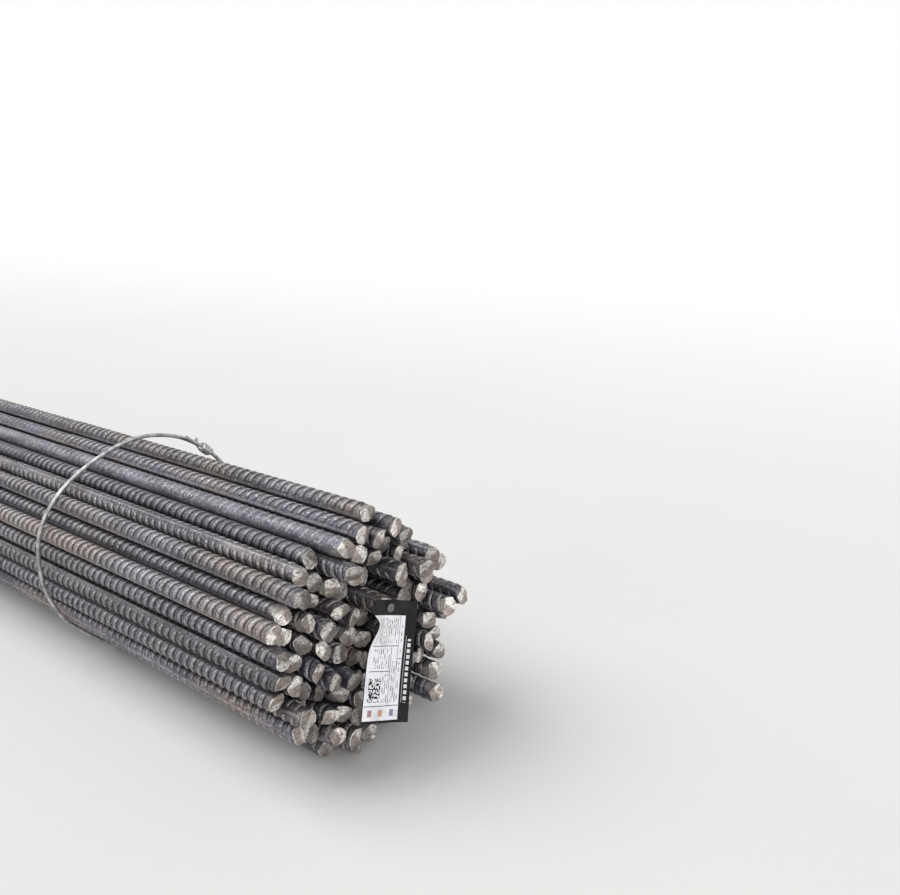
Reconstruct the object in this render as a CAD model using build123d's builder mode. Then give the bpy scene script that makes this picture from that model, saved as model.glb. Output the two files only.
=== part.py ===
from build123d import *
import math
import os
import random

# A bundle of hot-rolled ribbed reinforcing bars, tied with wire and tagged at one end.
# Millimetres and degrees. The bars run along X, the tagged end faces +X and the floor is Z = 0.

# Bars
bar_diameter = 18.0
bar_length = 9000.0
bar_count = 108
bar_gap = 0.6
row_count = 12

# How the bars lie across the bundle
packing_seed = 11
loose_spread = 1.5
pull_steps = 260
pull_strength = 0.05
settled_overlap = 0.001
underside_share = 0.93

# Bar ends, sheared across and pushed out of line with each other
end_scatter = 10.0
end_scatter_most = 20.0
deep_end_share = 0.08
deep_end_extra = 38.0
shear_tilt_least = 3.0
shear_tilt_most = 10.0
burr_angle = 38.0
burr_depth = 2.2

# Wire ties
tie_wire_diameter = 4.2
tie_wire_sides = 8
tie_seat = 0.3
tie_bend_radius = 30.0
tie_inset = 366.0
tie_skews = (5.0, -2.0, 3.0, -1.5, 2.5)

# The knot of each tie: a second strand beside the ring, and the coil that grips both
knot_angle = 44.0
knot_span = 52.0
knot_rise = 14.0
strand_spacing = 7.6
strand_length = 62.0
coil_cover = 0.9
coil_length = 15.0
tail_length = 20.0
tail_angle = 52.0

# Tag, and the nail that holds it to a bar end
tag_width = 54.0
tag_height = 107.0
tag_thickness = 0.8
tag_curl_radius = 40.0
tag_curl_angle = 28.0
tag_lean = 12.0
tag_hole_diameter = 5.0
tag_hole_inset = 7.0
tag_hole_across = -5.0
tag_bar_across = 9.0
tag_bar_above = 22.0
tag_bar_proud = 1.5
tag_seat = 0.3
nail_diameter = 3.0
nail_head_diameter = 8.0
nail_head_height = 1.4

bar_radius = bar_diameter / 2
wire_radius = tie_wire_diameter / 2
bar_pitch = bar_diameter + bar_gap
shear_rise = bar_radius * math.tan(math.radians(shear_tilt_most))
coil_radius = strand_spacing / 2 + wire_radius + coil_cover


# Layout of the bars

def part_neighbours(centres, floor):
    """Moves overlapping unit discs apart and up to the floor, and returns the deepest overlap."""
    deepest = 0.0
    for i, first in enumerate(centres):
        for second in centres[i + 1:]:
            across = second[0] - first[0]
            if abs(across) >= 1.0:
                continue
            above = second[1] - first[1]
            distance = math.hypot(across, above)
            if 0.0 < distance < 1.0:
                deepest = max(deepest, 1.0 - distance)
                push = (1.0 - distance) / distance / 2
                first[0] -= across * push
                first[1] -= above * push
                second[0] += across * push
                second[1] += above * push
        first[1] = max(first[1], floor)
    return deepest


def settled_centres(count):
    """Centres of unit discs, drawn together from a loose heap, lowest first.

    The discs are pulled to one point and stand on a floor a little above the underside of a
    round heap, so the heap ends up nearly round with a slightly flat underside.
    """
    chance = random.Random(packing_seed)
    reach = math.sqrt(count) / 2 * loose_spread
    floor = -math.sqrt(count) / 2 * underside_share
    centres = []
    for _ in range(count):
        angle = chance.uniform(0.0, 2 * math.pi)
        radius = reach * math.sqrt(chance.random())
        centres.append([radius * math.cos(angle), radius * math.sin(angle)])
    for step in range(pull_steps):
        pull = pull_strength * (1.0 - step / pull_steps)
        for centre in centres:
            centre[0] -= centre[0] * pull
            centre[1] -= centre[1] * pull
        part_neighbours(centres, floor)
    while part_neighbours(centres, floor) > settled_overlap:
        pass
    return sorted(centres, key=lambda centre: centre[1])


def corners_around(points):
    """The convex outline of points, counter-clockwise."""
    ordered = sorted(points)
    chains = []
    for run in (ordered, ordered[::-1]):
        chain = []
        for point in run:
            while len(chain) > 1 and turn(chain[-2], chain[-1], point) <= 0:
                chain.pop()
            chain.append(point)
        chains += chain[:-1]
    return chains


def turn(first, second, third):
    """Positive where the way from first over second to third turns left."""
    return (second[0] - first[0]) * (third[1] - first[1]) - (second[1] - first[1]) * (third[0] - first[0])


def outward_angle(start, end):
    """Direction, in degrees, that faces out of a counter-clockwise outline along one of its sides."""
    return math.degrees(math.atan2(start[0] - end[0], end[1] - start[1]))


bar_centres = [(across * bar_pitch, above * bar_pitch) for across, above in settled_centres(bar_count)]


# Layout of a tie

def support(points, angle):
    """How far points reach in the direction of angle."""
    across, above = math.cos(math.radians(angle)), math.sin(math.radians(angle))
    return max(point[0] * across + point[1] * above for point in points)


def from_knot(along, outward):
    """A place in the plane of a tie, counted from the middle of its knot's straight run."""
    facing = math.radians(90.0 - knot_angle)
    return (
        outward * math.cos(facing) - along * math.sin(facing),
        outward * math.sin(facing) + along * math.cos(facing),
    )


def tie_corners(skew):
    """Centres of the bends of a tie whose plane stands skew degrees off square to the bars."""
    stretch = 1.0 / math.cos(math.radians(skew))
    points = [(across * stretch, above) for across, above in bar_centres]
    seat_radius = bar_radius * stretch + tie_seat + wire_radius
    coil_height = support(points, 90.0 - knot_angle) + bar_radius * stretch + tie_seat + coil_radius
    for side in (-1, 1):
        points.append(from_knot(side * knot_span / 2, coil_height + knot_rise - seat_radius))
    outline = corners_around(points)
    drawn_in = []
    for before, corner, after in zip(outline[-1:] + outline[:-1], outline, outline[1:] + outline[:1]):
        entry = outward_angle(before, corner)
        bend = (outward_angle(corner, after) - entry) % 360.0
        middle = math.radians(entry + bend / 2)
        depth = tie_bend_radius - seat_radius
        drawn_in.append((corner[0] - depth * math.cos(middle), corner[1] - depth * math.sin(middle)))
    return corners_around(drawn_in)


# Bars

def shear_plane(x, centre, toward, chance, tilt):
    """The plane that a shear leaves across a bar end; toward is 1 at the +X end and -1 at the other."""
    lean = math.radians(tilt)
    around = chance.uniform(0.0, 2 * math.pi)
    facing = (
        toward * math.cos(lean),
        math.sin(lean) * math.cos(around),
        math.sin(lean) * math.sin(around),
    )
    return Plane(origin=(x, centre[0], centre[1]), z_dir=facing)


def burr_plane(x, centre, toward, chance):
    """The plane of the rounded-off side of a sheared end, which takes a sliver off its rim."""
    lean = math.radians(burr_angle)
    around = chance.uniform(0.0, 2 * math.pi)
    reach = bar_radius - burr_depth
    rim = (x, centre[0] + reach * math.cos(around), centre[1] + reach * math.sin(around))
    facing = (
        toward * math.sin(lean),
        math.cos(lean) * math.cos(around),
        math.cos(lean) * math.sin(around),
    )
    return Plane(origin=rim, z_dir=facing)


def make_bar(centre, near_end, tilt, chance):
    """One bar, sheared at both ends, with its +X end at near_end."""
    far_end = near_end - bar_length
    with BuildPart() as bar:
        with BuildSketch(Plane.YZ.offset(far_end - shear_rise)):
            with Locations(centre):
                Circle(bar_radius)
        extrude(amount=bar_length + 2 * shear_rise)
        for x, toward in ((near_end, 1), (far_end, -1)):
            split(bisect_by=shear_plane(x, centre, toward, chance, tilt), keep=Keep.BOTTOM)
        if tilt > 0.0:
            for x, toward in ((near_end, 1), (far_end, -1)):
                split(bisect_by=burr_plane(x, centre, toward, chance), keep=Keep.BOTTOM)
    return bar.part


def end_places(chance):
    """How far the +X end of each bar stands out of line, with the tagged bar standing proud."""
    places = []
    for index in range(bar_count):
        place = max(-end_scatter_most, min(end_scatter_most, chance.gauss(0.0, end_scatter)))
        if chance.random() < deep_end_share:
            place -= chance.uniform(0.3, 1.0) * deep_end_extra
        places.append(place)
    places[tag_bar] = end_scatter_most + shear_rise + tag_bar_proud
    return places


heap_middle = (
    (min(y for y, z in bar_centres) + max(y for y, z in bar_centres)) / 2,
    (min(z for y, z in bar_centres) + max(z for y, z in bar_centres)) / 2,
)
tag_bar = min(
    range(bar_count),
    key=lambda index: math.hypot(
        bar_centres[index][0] - heap_middle[0] - tag_bar_across,
        bar_centres[index][1] - heap_middle[1] - tag_bar_above,
    ),
)

ends_chance = random.Random(packing_seed)
near_ends = end_places(ends_chance)
bars = []
for index, centre in enumerate(bar_centres):
    tilt = 0.0 if index == tag_bar else ends_chance.uniform(shear_tilt_least, shear_tilt_most)
    bars.append(make_bar(centre, near_ends[index], tilt, ends_chance))

pieces = []
for row in range(row_count):
    first, last = row * bar_count // row_count, (row + 1) * bar_count // row_count
    with BuildPart() as bar_row:
        add(bars[first:last])
    bar_row.part.label = f"bars_row_{row + 1:02d}"
    pieces.append(bar_row.part)


# Wire ties

def make_tie(x, skew):
    """A ring of wire round the bars in a nearly upright plane, with its knot."""
    plane = Plane(
        origin=(x, 0, 0),
        x_dir=(math.sin(math.radians(skew)), math.cos(math.radians(skew)), 0),
        z_dir=(math.cos(math.radians(skew)), -math.sin(math.radians(skew)), 0),
    )
    bends = tie_corners(skew)
    with BuildPart() as tie:
        with BuildLine(plane) as ring:
            for before, corner, after in zip(bends[-1:] + bends[:-1], bends, bends[1:] + bends[:1]):
                entry = outward_angle(before, corner)
                bend = (outward_angle(corner, after) - entry) % 360.0
                CenterArc(corner, tie_bend_radius, entry, bend)
                leave = math.radians(entry + bend)
                reach = (tie_bend_radius * math.cos(leave), tie_bend_radius * math.sin(leave))
                Line(
                    (corner[0] + reach[0], corner[1] + reach[1]),
                    (after[0] + reach[0], after[1] + reach[1]),
                )
        ring_wire = ring.wires()[0]
        with BuildSketch(Plane(origin=ring_wire @ 0, x_dir=plane.z_dir, z_dir=ring_wire % 0)):
            RegularPolygon(wire_radius, tie_wire_sides, rotation=180 / tie_wire_sides)
        sweep(path=ring_wire)
        height = support(bends, 90.0 - knot_angle) + tie_bend_radius
        lean = math.radians(tail_angle)
        tail_reach = from_knot(tail_length * math.cos(lean), height + tail_length * math.sin(lean))
        strand_start = from_knot(-strand_length / 2, height) + (strand_spacing,)
        strand_end = from_knot(strand_length / 2, height) + (strand_spacing,)
        tail_start = from_knot(0, height) + (strand_spacing / 2,)
        tail_end = tail_reach + (strand_spacing,)
        for local_start, local_end in ((strand_start, strand_end), (tail_start, tail_end)):
            start, end = plane.from_local_coords(local_start), plane.from_local_coords(local_end)
            with BuildSketch(Plane(origin=start, z_dir=end - start)):
                RegularPolygon(wire_radius, tie_wire_sides)
            extrude(amount=(end - start).length)
        start = plane.from_local_coords(from_knot(-coil_length / 2, height) + (strand_spacing / 2,))
        end = plane.from_local_coords(from_knot(coil_length / 2, height) + (strand_spacing / 2,))
        with BuildSketch(Plane(origin=start, z_dir=end - start)):
            Circle(coil_radius)
        extrude(amount=coil_length)
    return tie.part


tie_step = (bar_length - 2 * tie_inset) / (len(tie_skews) - 1)
for number, skew in enumerate(tie_skews):
    tie_part = make_tie(-tie_inset - number * tie_step, skew)
    tie_part.label = f"wire_tie_{number + 1}"
    pieces.append(tie_part)


# Tag and its nail

nail_y, nail_z = bar_centres[tag_bar]
tag_back = near_ends[tag_bar] + tag_seat
lean = math.radians(tag_lean)
tag_plane = Plane(
    origin=(tag_back, nail_y, nail_z),
    x_dir=(0, math.cos(lean), -math.sin(lean)),
    z_dir=(1, 0, 0),
)

with BuildPart() as tag:
    flat_width = tag_width - math.radians(tag_curl_angle) * tag_curl_radius
    with BuildSketch(Plane(
        origin=tag_plane.from_local_coords((0, tag_hole_inset - tag_height, 0)),
        x_dir=tag_plane.x_dir,
        z_dir=tag_plane.y_dir,
    )):
        with BuildLine():
            left = -tag_width / 2 - tag_hole_across
            right = left + flat_width
            curl = math.radians(tag_curl_angle)
            outer, inner = tag_curl_radius, tag_curl_radius - tag_thickness
            Line((right, 0), (left, 0))
            Line((left, 0), (left, -tag_thickness))
            Line((left, -tag_thickness), (right, -tag_thickness))
            CenterArc((right, -outer), inner, 90, -tag_curl_angle)
            Line(
                (right + inner * math.sin(curl), inner * math.cos(curl) - outer),
                (right + outer * math.sin(curl), outer * math.cos(curl) - outer),
            )
            CenterArc((right, -outer), outer, 90 - tag_curl_angle, tag_curl_angle)
        make_face()
    extrude(amount=tag_height)
    with Locations(tag_plane.offset(tag_thickness)):
        Hole(tag_hole_diameter / 2, depth=2 * tag_thickness)
tag.part.label = "tag"
pieces.append(tag.part)

with BuildPart() as nail:
    with BuildSketch(Plane.YZ.offset(near_ends[tag_bar])):
        with Locations((nail_y, nail_z)):
            Circle(nail_diameter / 2)
    extrude(amount=2 * tag_seat + tag_thickness)
    with BuildSketch(Plane.YZ.offset(tag_back + tag_thickness + tag_seat)):
        with Locations((nail_y, nail_z)):
            Circle(nail_head_diameter / 2)
    extrude(amount=nail_head_height)
nail.part.label = "tag_nail"
pieces.append(nail.part)


# The whole bundle stands on its origin, the middle of the underside of its box

boxes = [piece.bounding_box() for piece in pieces]
to_origin = Location((
    -(min(box.min.X for box in boxes) + max(box.max.X for box in boxes)) / 2,
    -(min(box.min.Y for box in boxes) + max(box.max.Y for box in boxes)) / 2,
    -min(box.min.Z for box in boxes),
))

os.makedirs("parts", exist_ok=True)
for piece in pieces:
    piece.move(to_origin)
    export_step(piece, f"parts/{piece.label}.step")
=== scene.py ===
import logging
import math
import random
from dataclasses import dataclass, field
from enum import Enum
from typing import Any

import bpy
import numpy as np
from mathutils import Matrix, Vector


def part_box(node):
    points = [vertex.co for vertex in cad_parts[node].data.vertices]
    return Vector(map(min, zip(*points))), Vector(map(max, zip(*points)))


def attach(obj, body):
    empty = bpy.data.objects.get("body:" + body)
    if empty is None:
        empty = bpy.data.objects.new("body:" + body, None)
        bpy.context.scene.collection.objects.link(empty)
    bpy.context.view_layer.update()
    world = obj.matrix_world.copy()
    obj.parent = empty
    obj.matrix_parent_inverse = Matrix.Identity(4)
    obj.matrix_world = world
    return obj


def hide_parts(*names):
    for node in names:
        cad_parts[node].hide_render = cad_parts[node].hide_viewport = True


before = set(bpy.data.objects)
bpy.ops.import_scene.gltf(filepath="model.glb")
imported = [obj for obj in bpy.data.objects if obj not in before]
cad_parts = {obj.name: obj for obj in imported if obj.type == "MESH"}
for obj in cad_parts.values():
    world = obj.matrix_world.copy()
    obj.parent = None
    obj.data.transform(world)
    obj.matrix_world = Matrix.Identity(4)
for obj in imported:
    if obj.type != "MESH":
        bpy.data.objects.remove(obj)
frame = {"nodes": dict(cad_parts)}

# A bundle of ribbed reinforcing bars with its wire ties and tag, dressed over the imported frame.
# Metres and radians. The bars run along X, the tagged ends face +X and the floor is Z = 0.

log = logging.getLogger("rebar_bundle")
MM = 0.001

# Where the middle of the heap stands in the frame, across and up
HEAP_ORIGIN = (-0.00155, 0.10449)
BAR_DIAMETER = 0.018
BAR_PITCH = 0.0186

Pair = tuple[float, float]
Colour = tuple[float, float, float, float]


@dataclass(frozen=True)
class Eye:
    """Where the photograph was taken from, and how a point of the frame falls in it."""

    place: tuple[float, float, float] = (5.0975, -0.5191, 0.5140)
    right: tuple[float, float, float] = (0.73932, 0.67130, -0.05258)
    down: tuple[float, float, float] = (0.15917, -0.25011, -0.95504)
    forward: tuple[float, float, float] = (-0.65427, 0.69772, -0.29177)
    lens: float = 40.0
    sensor: float = 36.0
    frame: tuple[int, int] = (900, 895)

    def pixel(self, point: tuple[float, float, float]) -> Pair:
        """The pixel that a point of the frame falls on."""
        reach = Vector(point) - Vector(self.place)
        depth = reach.dot(Vector(self.forward))
        scale = self.lens / self.sensor * self.frame[0] / depth
        return (
            self.frame[0] / 2 + scale * reach.dot(Vector(self.right)),
            self.frame[1] / 2 + scale * reach.dot(Vector(self.down)),
        )


class End(Enum):
    """The two ends of a bar, by the way that they face along X."""

    NEAR = 1
    FAR = -1


class RibKind(Enum):
    """How finely a run of ribs is made, and whether only the rib that faces outward is."""

    FINE = "rib_pair_fine"
    PLAIN = "rib_pair_plain"
    OUTWARD = "rib_outward"


# ---- Objects and meshes


def put_in_scene(name: str, data: Any) -> bpy.types.Object:
    """Makes an object of data and links it to the scene."""
    made = bpy.data.objects.new(name, data)
    bpy.context.scene.collection.objects.link(made)
    return made


def smooth_piece(
    name: str, points: list, faces: list, finish: bpy.types.Material, sharp_from: float
) -> bpy.types.Object:
    """Makes a piece that is smooth but for its sharper edges.

    Args:
        name: The name of the piece and its mesh.
        points: Its points, in the frame.
        faces: The points of each face, in order.
        finish: Its material.
        sharp_from: The angle in degrees from which an edge stays sharp.

    Returns:
        The piece.
    """
    mesh = bpy.data.meshes.new(name)
    mesh.from_pydata(points, [], faces)
    mesh.polygons.foreach_set("use_smooth", [True] * len(faces))
    mesh.set_sharp_from_angle(angle=math.radians(sharp_from))
    mesh.materials.append(finish)
    return put_in_scene(name, mesh)


def values_of(items: Any, name: str, kind: type = float, width: int = 1) -> np.ndarray:
    """One value of every item of a mesh as an array.

    Args:
        items: The mesh's vertices, loops, polygons or attribute data.
        name: The name of the value.
        kind: The type of the array.
        width: How many numbers the value has.

    Returns:
        The values in order, unshaped.
    """
    values = np.empty(len(items) * width, dtype=kind)
    items.foreach_get(name, values)
    return values


def paint(mesh: bpy.types.Mesh, name: str, values: Any) -> None:
    """Keeps one value for each point of a mesh."""
    mesh.attributes.new(name, "FLOAT", "POINT").data.foreach_set("value", values)


def ease(share: Any) -> Any:
    """share from 0 to 1, with a soft start and end."""
    return share * share * (3 - 2 * share)


# ---- Node trees


class Tree:
    """Adds nodes to one node tree and links them by socket name."""

    def __init__(self, tree: bpy.types.NodeTree) -> None:
        """Keeps the tree that nodes are added to."""
        self.tree = tree

    def feed(self, made: bpy.types.Node, inputs: dict[Any, Any]) -> None:
        """Gives a node's inputs, by name or number, the value or the output that each takes."""
        for name, value in inputs.items():
            if isinstance(value, bpy.types.NodeSocket):
                self.tree.links.new(value, made.inputs[name])
            else:
                made.inputs[name].default_value = value

    def node(
        self, kind: str, inputs: dict[Any, Any] | None = None, **settings: Any
    ) -> bpy.types.Node:
        """Adds one node.

        Args:
            kind: Blender's name for the node type.
            inputs: Sockets, by name or number, with the value or the output that each takes.
            settings: Properties of the node.

        Returns:
            The new node.
        """
        made = self.tree.nodes.new(kind)
        for name, value in settings.items():
            setattr(made, name, value)
        self.feed(made, inputs or {})
        return made

    def group(self, tree: bpy.types.NodeTree, **inputs: Any) -> Any:
        """Adds a shader group, whose inputs are given with _ for a space, and its outputs."""
        named = {name.replace("_", " "): value for name, value in inputs.items()}
        return self.node("ShaderNodeGroup", named, node_tree=tree).outputs

    def math(self, operation: str, *values: Any, clamp: bool = False) -> bpy.types.NodeSocket:
        """A Math node of the given operation, and its output."""
        inputs = dict(enumerate(values))
        return self.node("ShaderNodeMath", inputs, operation=operation, use_clamp=clamp).outputs[0]

    def times(self, first: Any, *others: Any, clamp: bool = False) -> bpy.types.NodeSocket:
        """The product of values, from the first on, and its output."""
        for other in others[:-1]:
            first = self.math("MULTIPLY", first, other)
        return self.math("MULTIPLY", first, others[-1], clamp=clamp)

    def line(self, value: Any, slope: Any, level: Any) -> bpy.types.NodeSocket:
        """value times slope plus level, and its output."""
        return self.math("MULTIPLY_ADD", value, slope, level)

    def mix(
        self, share: Any, first: Any, second: Any, blend: str = "MIX"
    ) -> bpy.types.NodeSocket:
        """A colour mix from first to second by share, and its output."""
        inputs = {0: share, 6: first, 7: second}
        return self.node("ShaderNodeMix", inputs, data_type="RGBA", blend_type=blend).outputs[2]

    def lit_by(self, base: Any, level: Any) -> bpy.types.NodeSocket:
        """A colour made lighter or darker by level."""
        grey = self.node("ShaderNodeCombineColor", {0: level, 1: level, 2: level}).outputs[0]
        return self.mix(1.0, base, grey, "MULTIPLY")

    def between(
        self, value: Any, low: Any, high: Any, start: float = 0.0, end: float = 1.0
    ) -> bpy.types.NodeSocket:
        """value taken smoothly from low..high to start..end."""
        inputs = {"Value": value, "From Min": low, "From Max": high, "To Min": start, "To Max": end}
        made = self.node("ShaderNodeMapRange", inputs, interpolation_type="SMOOTHSTEP")
        return made.outputs[0]

    def noise(
        self, vector: Any, scale: Any, detail: float = 4.0, rough: float = 0.55
    ) -> bpy.types.NodeSocket:
        """A noise pattern over vector, and its value."""
        inputs = {"Vector": vector, "Scale": scale, "Detail": detail, "Roughness": rough}
        return self.node("ShaderNodeTexNoise", inputs).outputs[0]

    def stretched(
        self, vector: Any, scale: tuple[float, float, float]
    ) -> bpy.types.NodeSocket:
        """vector scaled by axis, for a pattern that runs one way."""
        return self.node("ShaderNodeMapping", {"Vector": vector, "Scale": scale}).outputs[0]

    def vector(self, across: Any, up: Any = 0.0) -> bpy.types.NodeSocket:
        """Two values put together as a vector."""
        return self.node("ShaderNodeCombineXYZ", {"X": across, "Y": up}).outputs[0]

    def painted(self, name: str, output: str = "Fac") -> bpy.types.NodeSocket:
        """One output of an attribute that is kept on the mesh."""
        return self.node("ShaderNodeAttribute", attribute_name=name).outputs[output]

    def bump(self, shader: bpy.types.Node, height: Any, strength: float = 1.0) -> None:
        """Gives a shader the relief of height, in metres."""
        inputs = {"Height": height, "Distance": 1.0, "Strength": strength}
        self.feed(shader, {"Normal": self.node("ShaderNodeBump", inputs).outputs[0]})

    def seen_directly(self) -> bpy.types.NodeSocket:
        """1 for rays from the camera, and for those that metal or glass sends on."""
        path = self.node("ShaderNodeLightPath").outputs
        through = self.math("MAXIMUM", path["Is Glossy Ray"], path["Is Transmission Ray"])
        return self.math("MAXIMUM", path["Is Camera Ray"], through)


def socket(
    tree: bpy.types.NodeTree, name: str, kind: str, way: str = "INPUT", value: Any = None
) -> Any:
    """Adds a named socket to a node group.

    Args:
        tree: The group.
        name: The name of the socket.
        kind: Float, Vector, Color, Int, Object, Material or Geometry.
        way: INPUT or OUTPUT.
        value: Its value when nothing is linked.

    Returns:
        The interface item of the socket.
    """
    made = tree.interface.new_socket(name, in_out=way, socket_type=f"NodeSocket{kind}")
    if value is not None:
        made.default_value = value
    return made


def colour(red: float, green: float, blue: float) -> Colour:
    """A colour written in screen values from 0 to 255, as the shader takes it."""
    return tuple((value / 255.0) ** 2.2 for value in (red, green, blue)) + (1.0,)


class SteelGroups:
    """The shader groups that the steel finishes share, each built once."""

    def __init__(self) -> None:
        """Builds the groups."""
        self.skin = self.rolled_skin()
        self.rust = self.rust_bloom()
        self.ribs = self.rib_relief()

    @staticmethod
    def rolled_skin() -> bpy.types.NodeTree:
        """Fine pits and drawn-out mottling of rolled steel, as a height and a mottling mask."""
        tree = bpy.data.node_groups.new("Rolled Skin", "ShaderNodeTree")
        socket(tree, "Vector", "Vector")
        socket(tree, "Pit Scale", "Float", value=900.0)
        socket(tree, "Mottle Scale", "Float", value=60.0)
        socket(tree, "Stretch", "Float", value=0.3)
        socket(tree, "Height", "Float", "OUTPUT")
        socket(tree, "Mottle", "Float", "OUTPUT")
        make = Tree(tree)
        given = make.node("NodeGroupInput").outputs
        along = {"X": given["Stretch"], "Y": 1.0, "Z": 1.0}
        run = make.node("ShaderNodeCombineXYZ", along).outputs[0]
        drawn = {0: given["Vector"], 1: run}
        drawn = make.node("ShaderNodeVectorMath", drawn, operation="MULTIPLY").outputs[0]
        pits = make.noise(given["Vector"], given["Pit Scale"], 3.0, 0.6)
        mottle = make.noise(drawn, given["Mottle Scale"], 5.0, 0.62)
        height = make.line(mottle, 0.5, make.math("MULTIPLY", pits, 0.5))
        make.node("NodeGroupOutput", {"Height": height, "Mottle": make.between(mottle, 0.3, 0.7)})
        return tree

    @staticmethod
    def rust_bloom() -> bpy.types.NodeTree:
        """Light rust that gathers in patches, as a mask and a colour."""
        tree = bpy.data.node_groups.new("Rust Bloom", "ShaderNodeTree")
        socket(tree, "Vector", "Vector")
        socket(tree, "Amount", "Float", value=0.2)
        socket(tree, "Patch Scale", "Float", value=14.0)
        socket(tree, "Mask", "Float", "OUTPUT")
        socket(tree, "Color", "Color", "OUTPUT")
        make = Tree(tree)
        given = make.node("NodeGroupInput").outputs
        drawn = make.stretched(given["Vector"], (0.35, 1.0, 1.0))
        patches = make.noise(drawn, given["Patch Scale"], 6.0, 0.65)
        grain = make.noise(given["Vector"], 420.0, 3.0, 0.6)
        level = make.math("ADD", patches, make.line(grain, 0.22, -0.11))
        edge = make.math("SUBTRACT", 0.86, make.math("MULTIPLY", given["Amount"], 0.66))
        mask = make.between(level, edge, make.math("ADD", edge, 0.22))
        shade = make.mix(grain, colour(92, 72, 60), colour(158, 130, 112))
        make.node("NodeGroupOutput", {"Mask": mask, "Color": shade})
        return tree

    @staticmethod
    def rib_relief() -> bpy.types.NodeTree:
        """Crescent ribs over a bar's own map, whose U counts ribs and V goes once round the bar,
        and a painted shade along the ribs' feet, twice as strong on their +X side.
        """
        tree = bpy.data.node_groups.new("Crescent Ribs", "ShaderNodeTree")
        socket(tree, "UV", "Vector")
        socket(tree, "Lean", "Float", value=0.648)
        socket(tree, "Half Width", "Float", value=0.26)
        socket(tree, "Height", "Float", "OUTPUT")
        socket(tree, "Foot Shade", "Float", "OUTPUT")
        make = Tree(tree)
        given = make.node("NodeGroupInput").outputs
        parts = make.node("ShaderNodeSeparateXYZ", {0: given["UV"]}).outputs
        turned = make.math("SUBTRACT", make.math("FRACT", parts["Y"]), 0.5)
        half = make.math("SUBTRACT", 0.5, make.math("ABSOLUTE", turned))
        across = make.line(half, 2.0, -0.5)
        phase = make.line(given["Lean"], across, parts["X"])
        behind = make.math("SUBTRACT", make.math("FRACT", make.math("ADD", phase, 0.5)), 0.5)
        apart = make.math("ABSOLUTE", behind)
        slope = make.math("DIVIDE", apart, given["Half Width"])
        ridge = make.math("SUBTRACT", 1.0, slope, clamp=True)
        arc = make.math("SINE", make.math("MULTIPLY", half, 2 * math.pi))
        sickle = make.math("POWER", arc, 0.6)
        height = make.times(make.between(ridge, 0.0, 0.42), sickle)
        # Painted shade along both feet of each rib, twice as strong on its +X side
        foot = make.times(make.between(apart, 0.46, 0.33), make.between(apart, 0.15, 0.2))
        foot = make.times(foot, make.between(behind, -0.02, 0.02, 1.0, 0.5), sickle)
        make.node("NodeGroupOutput", {"Height": height, "Foot Shade": foot})
        return tree


# ---- Finishes


def new_material(
    name: str,
) -> tuple[bpy.types.Material, Tree, bpy.types.NodeSocket, bpy.types.Node]:
    """Starts a material.

    Args:
        name: Its name.

    Returns:
        The material, a Tree on its nodes, the Object coordinates and the Principled BSDF.
    """
    material = bpy.data.materials.new(name)
    material.use_nodes = True
    make = Tree(material.node_tree)
    shader = material.node_tree.nodes["Principled BSDF"]
    place = make.node("ShaderNodeTexCoord").outputs["Object"]
    return material, make, place, shader


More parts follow.
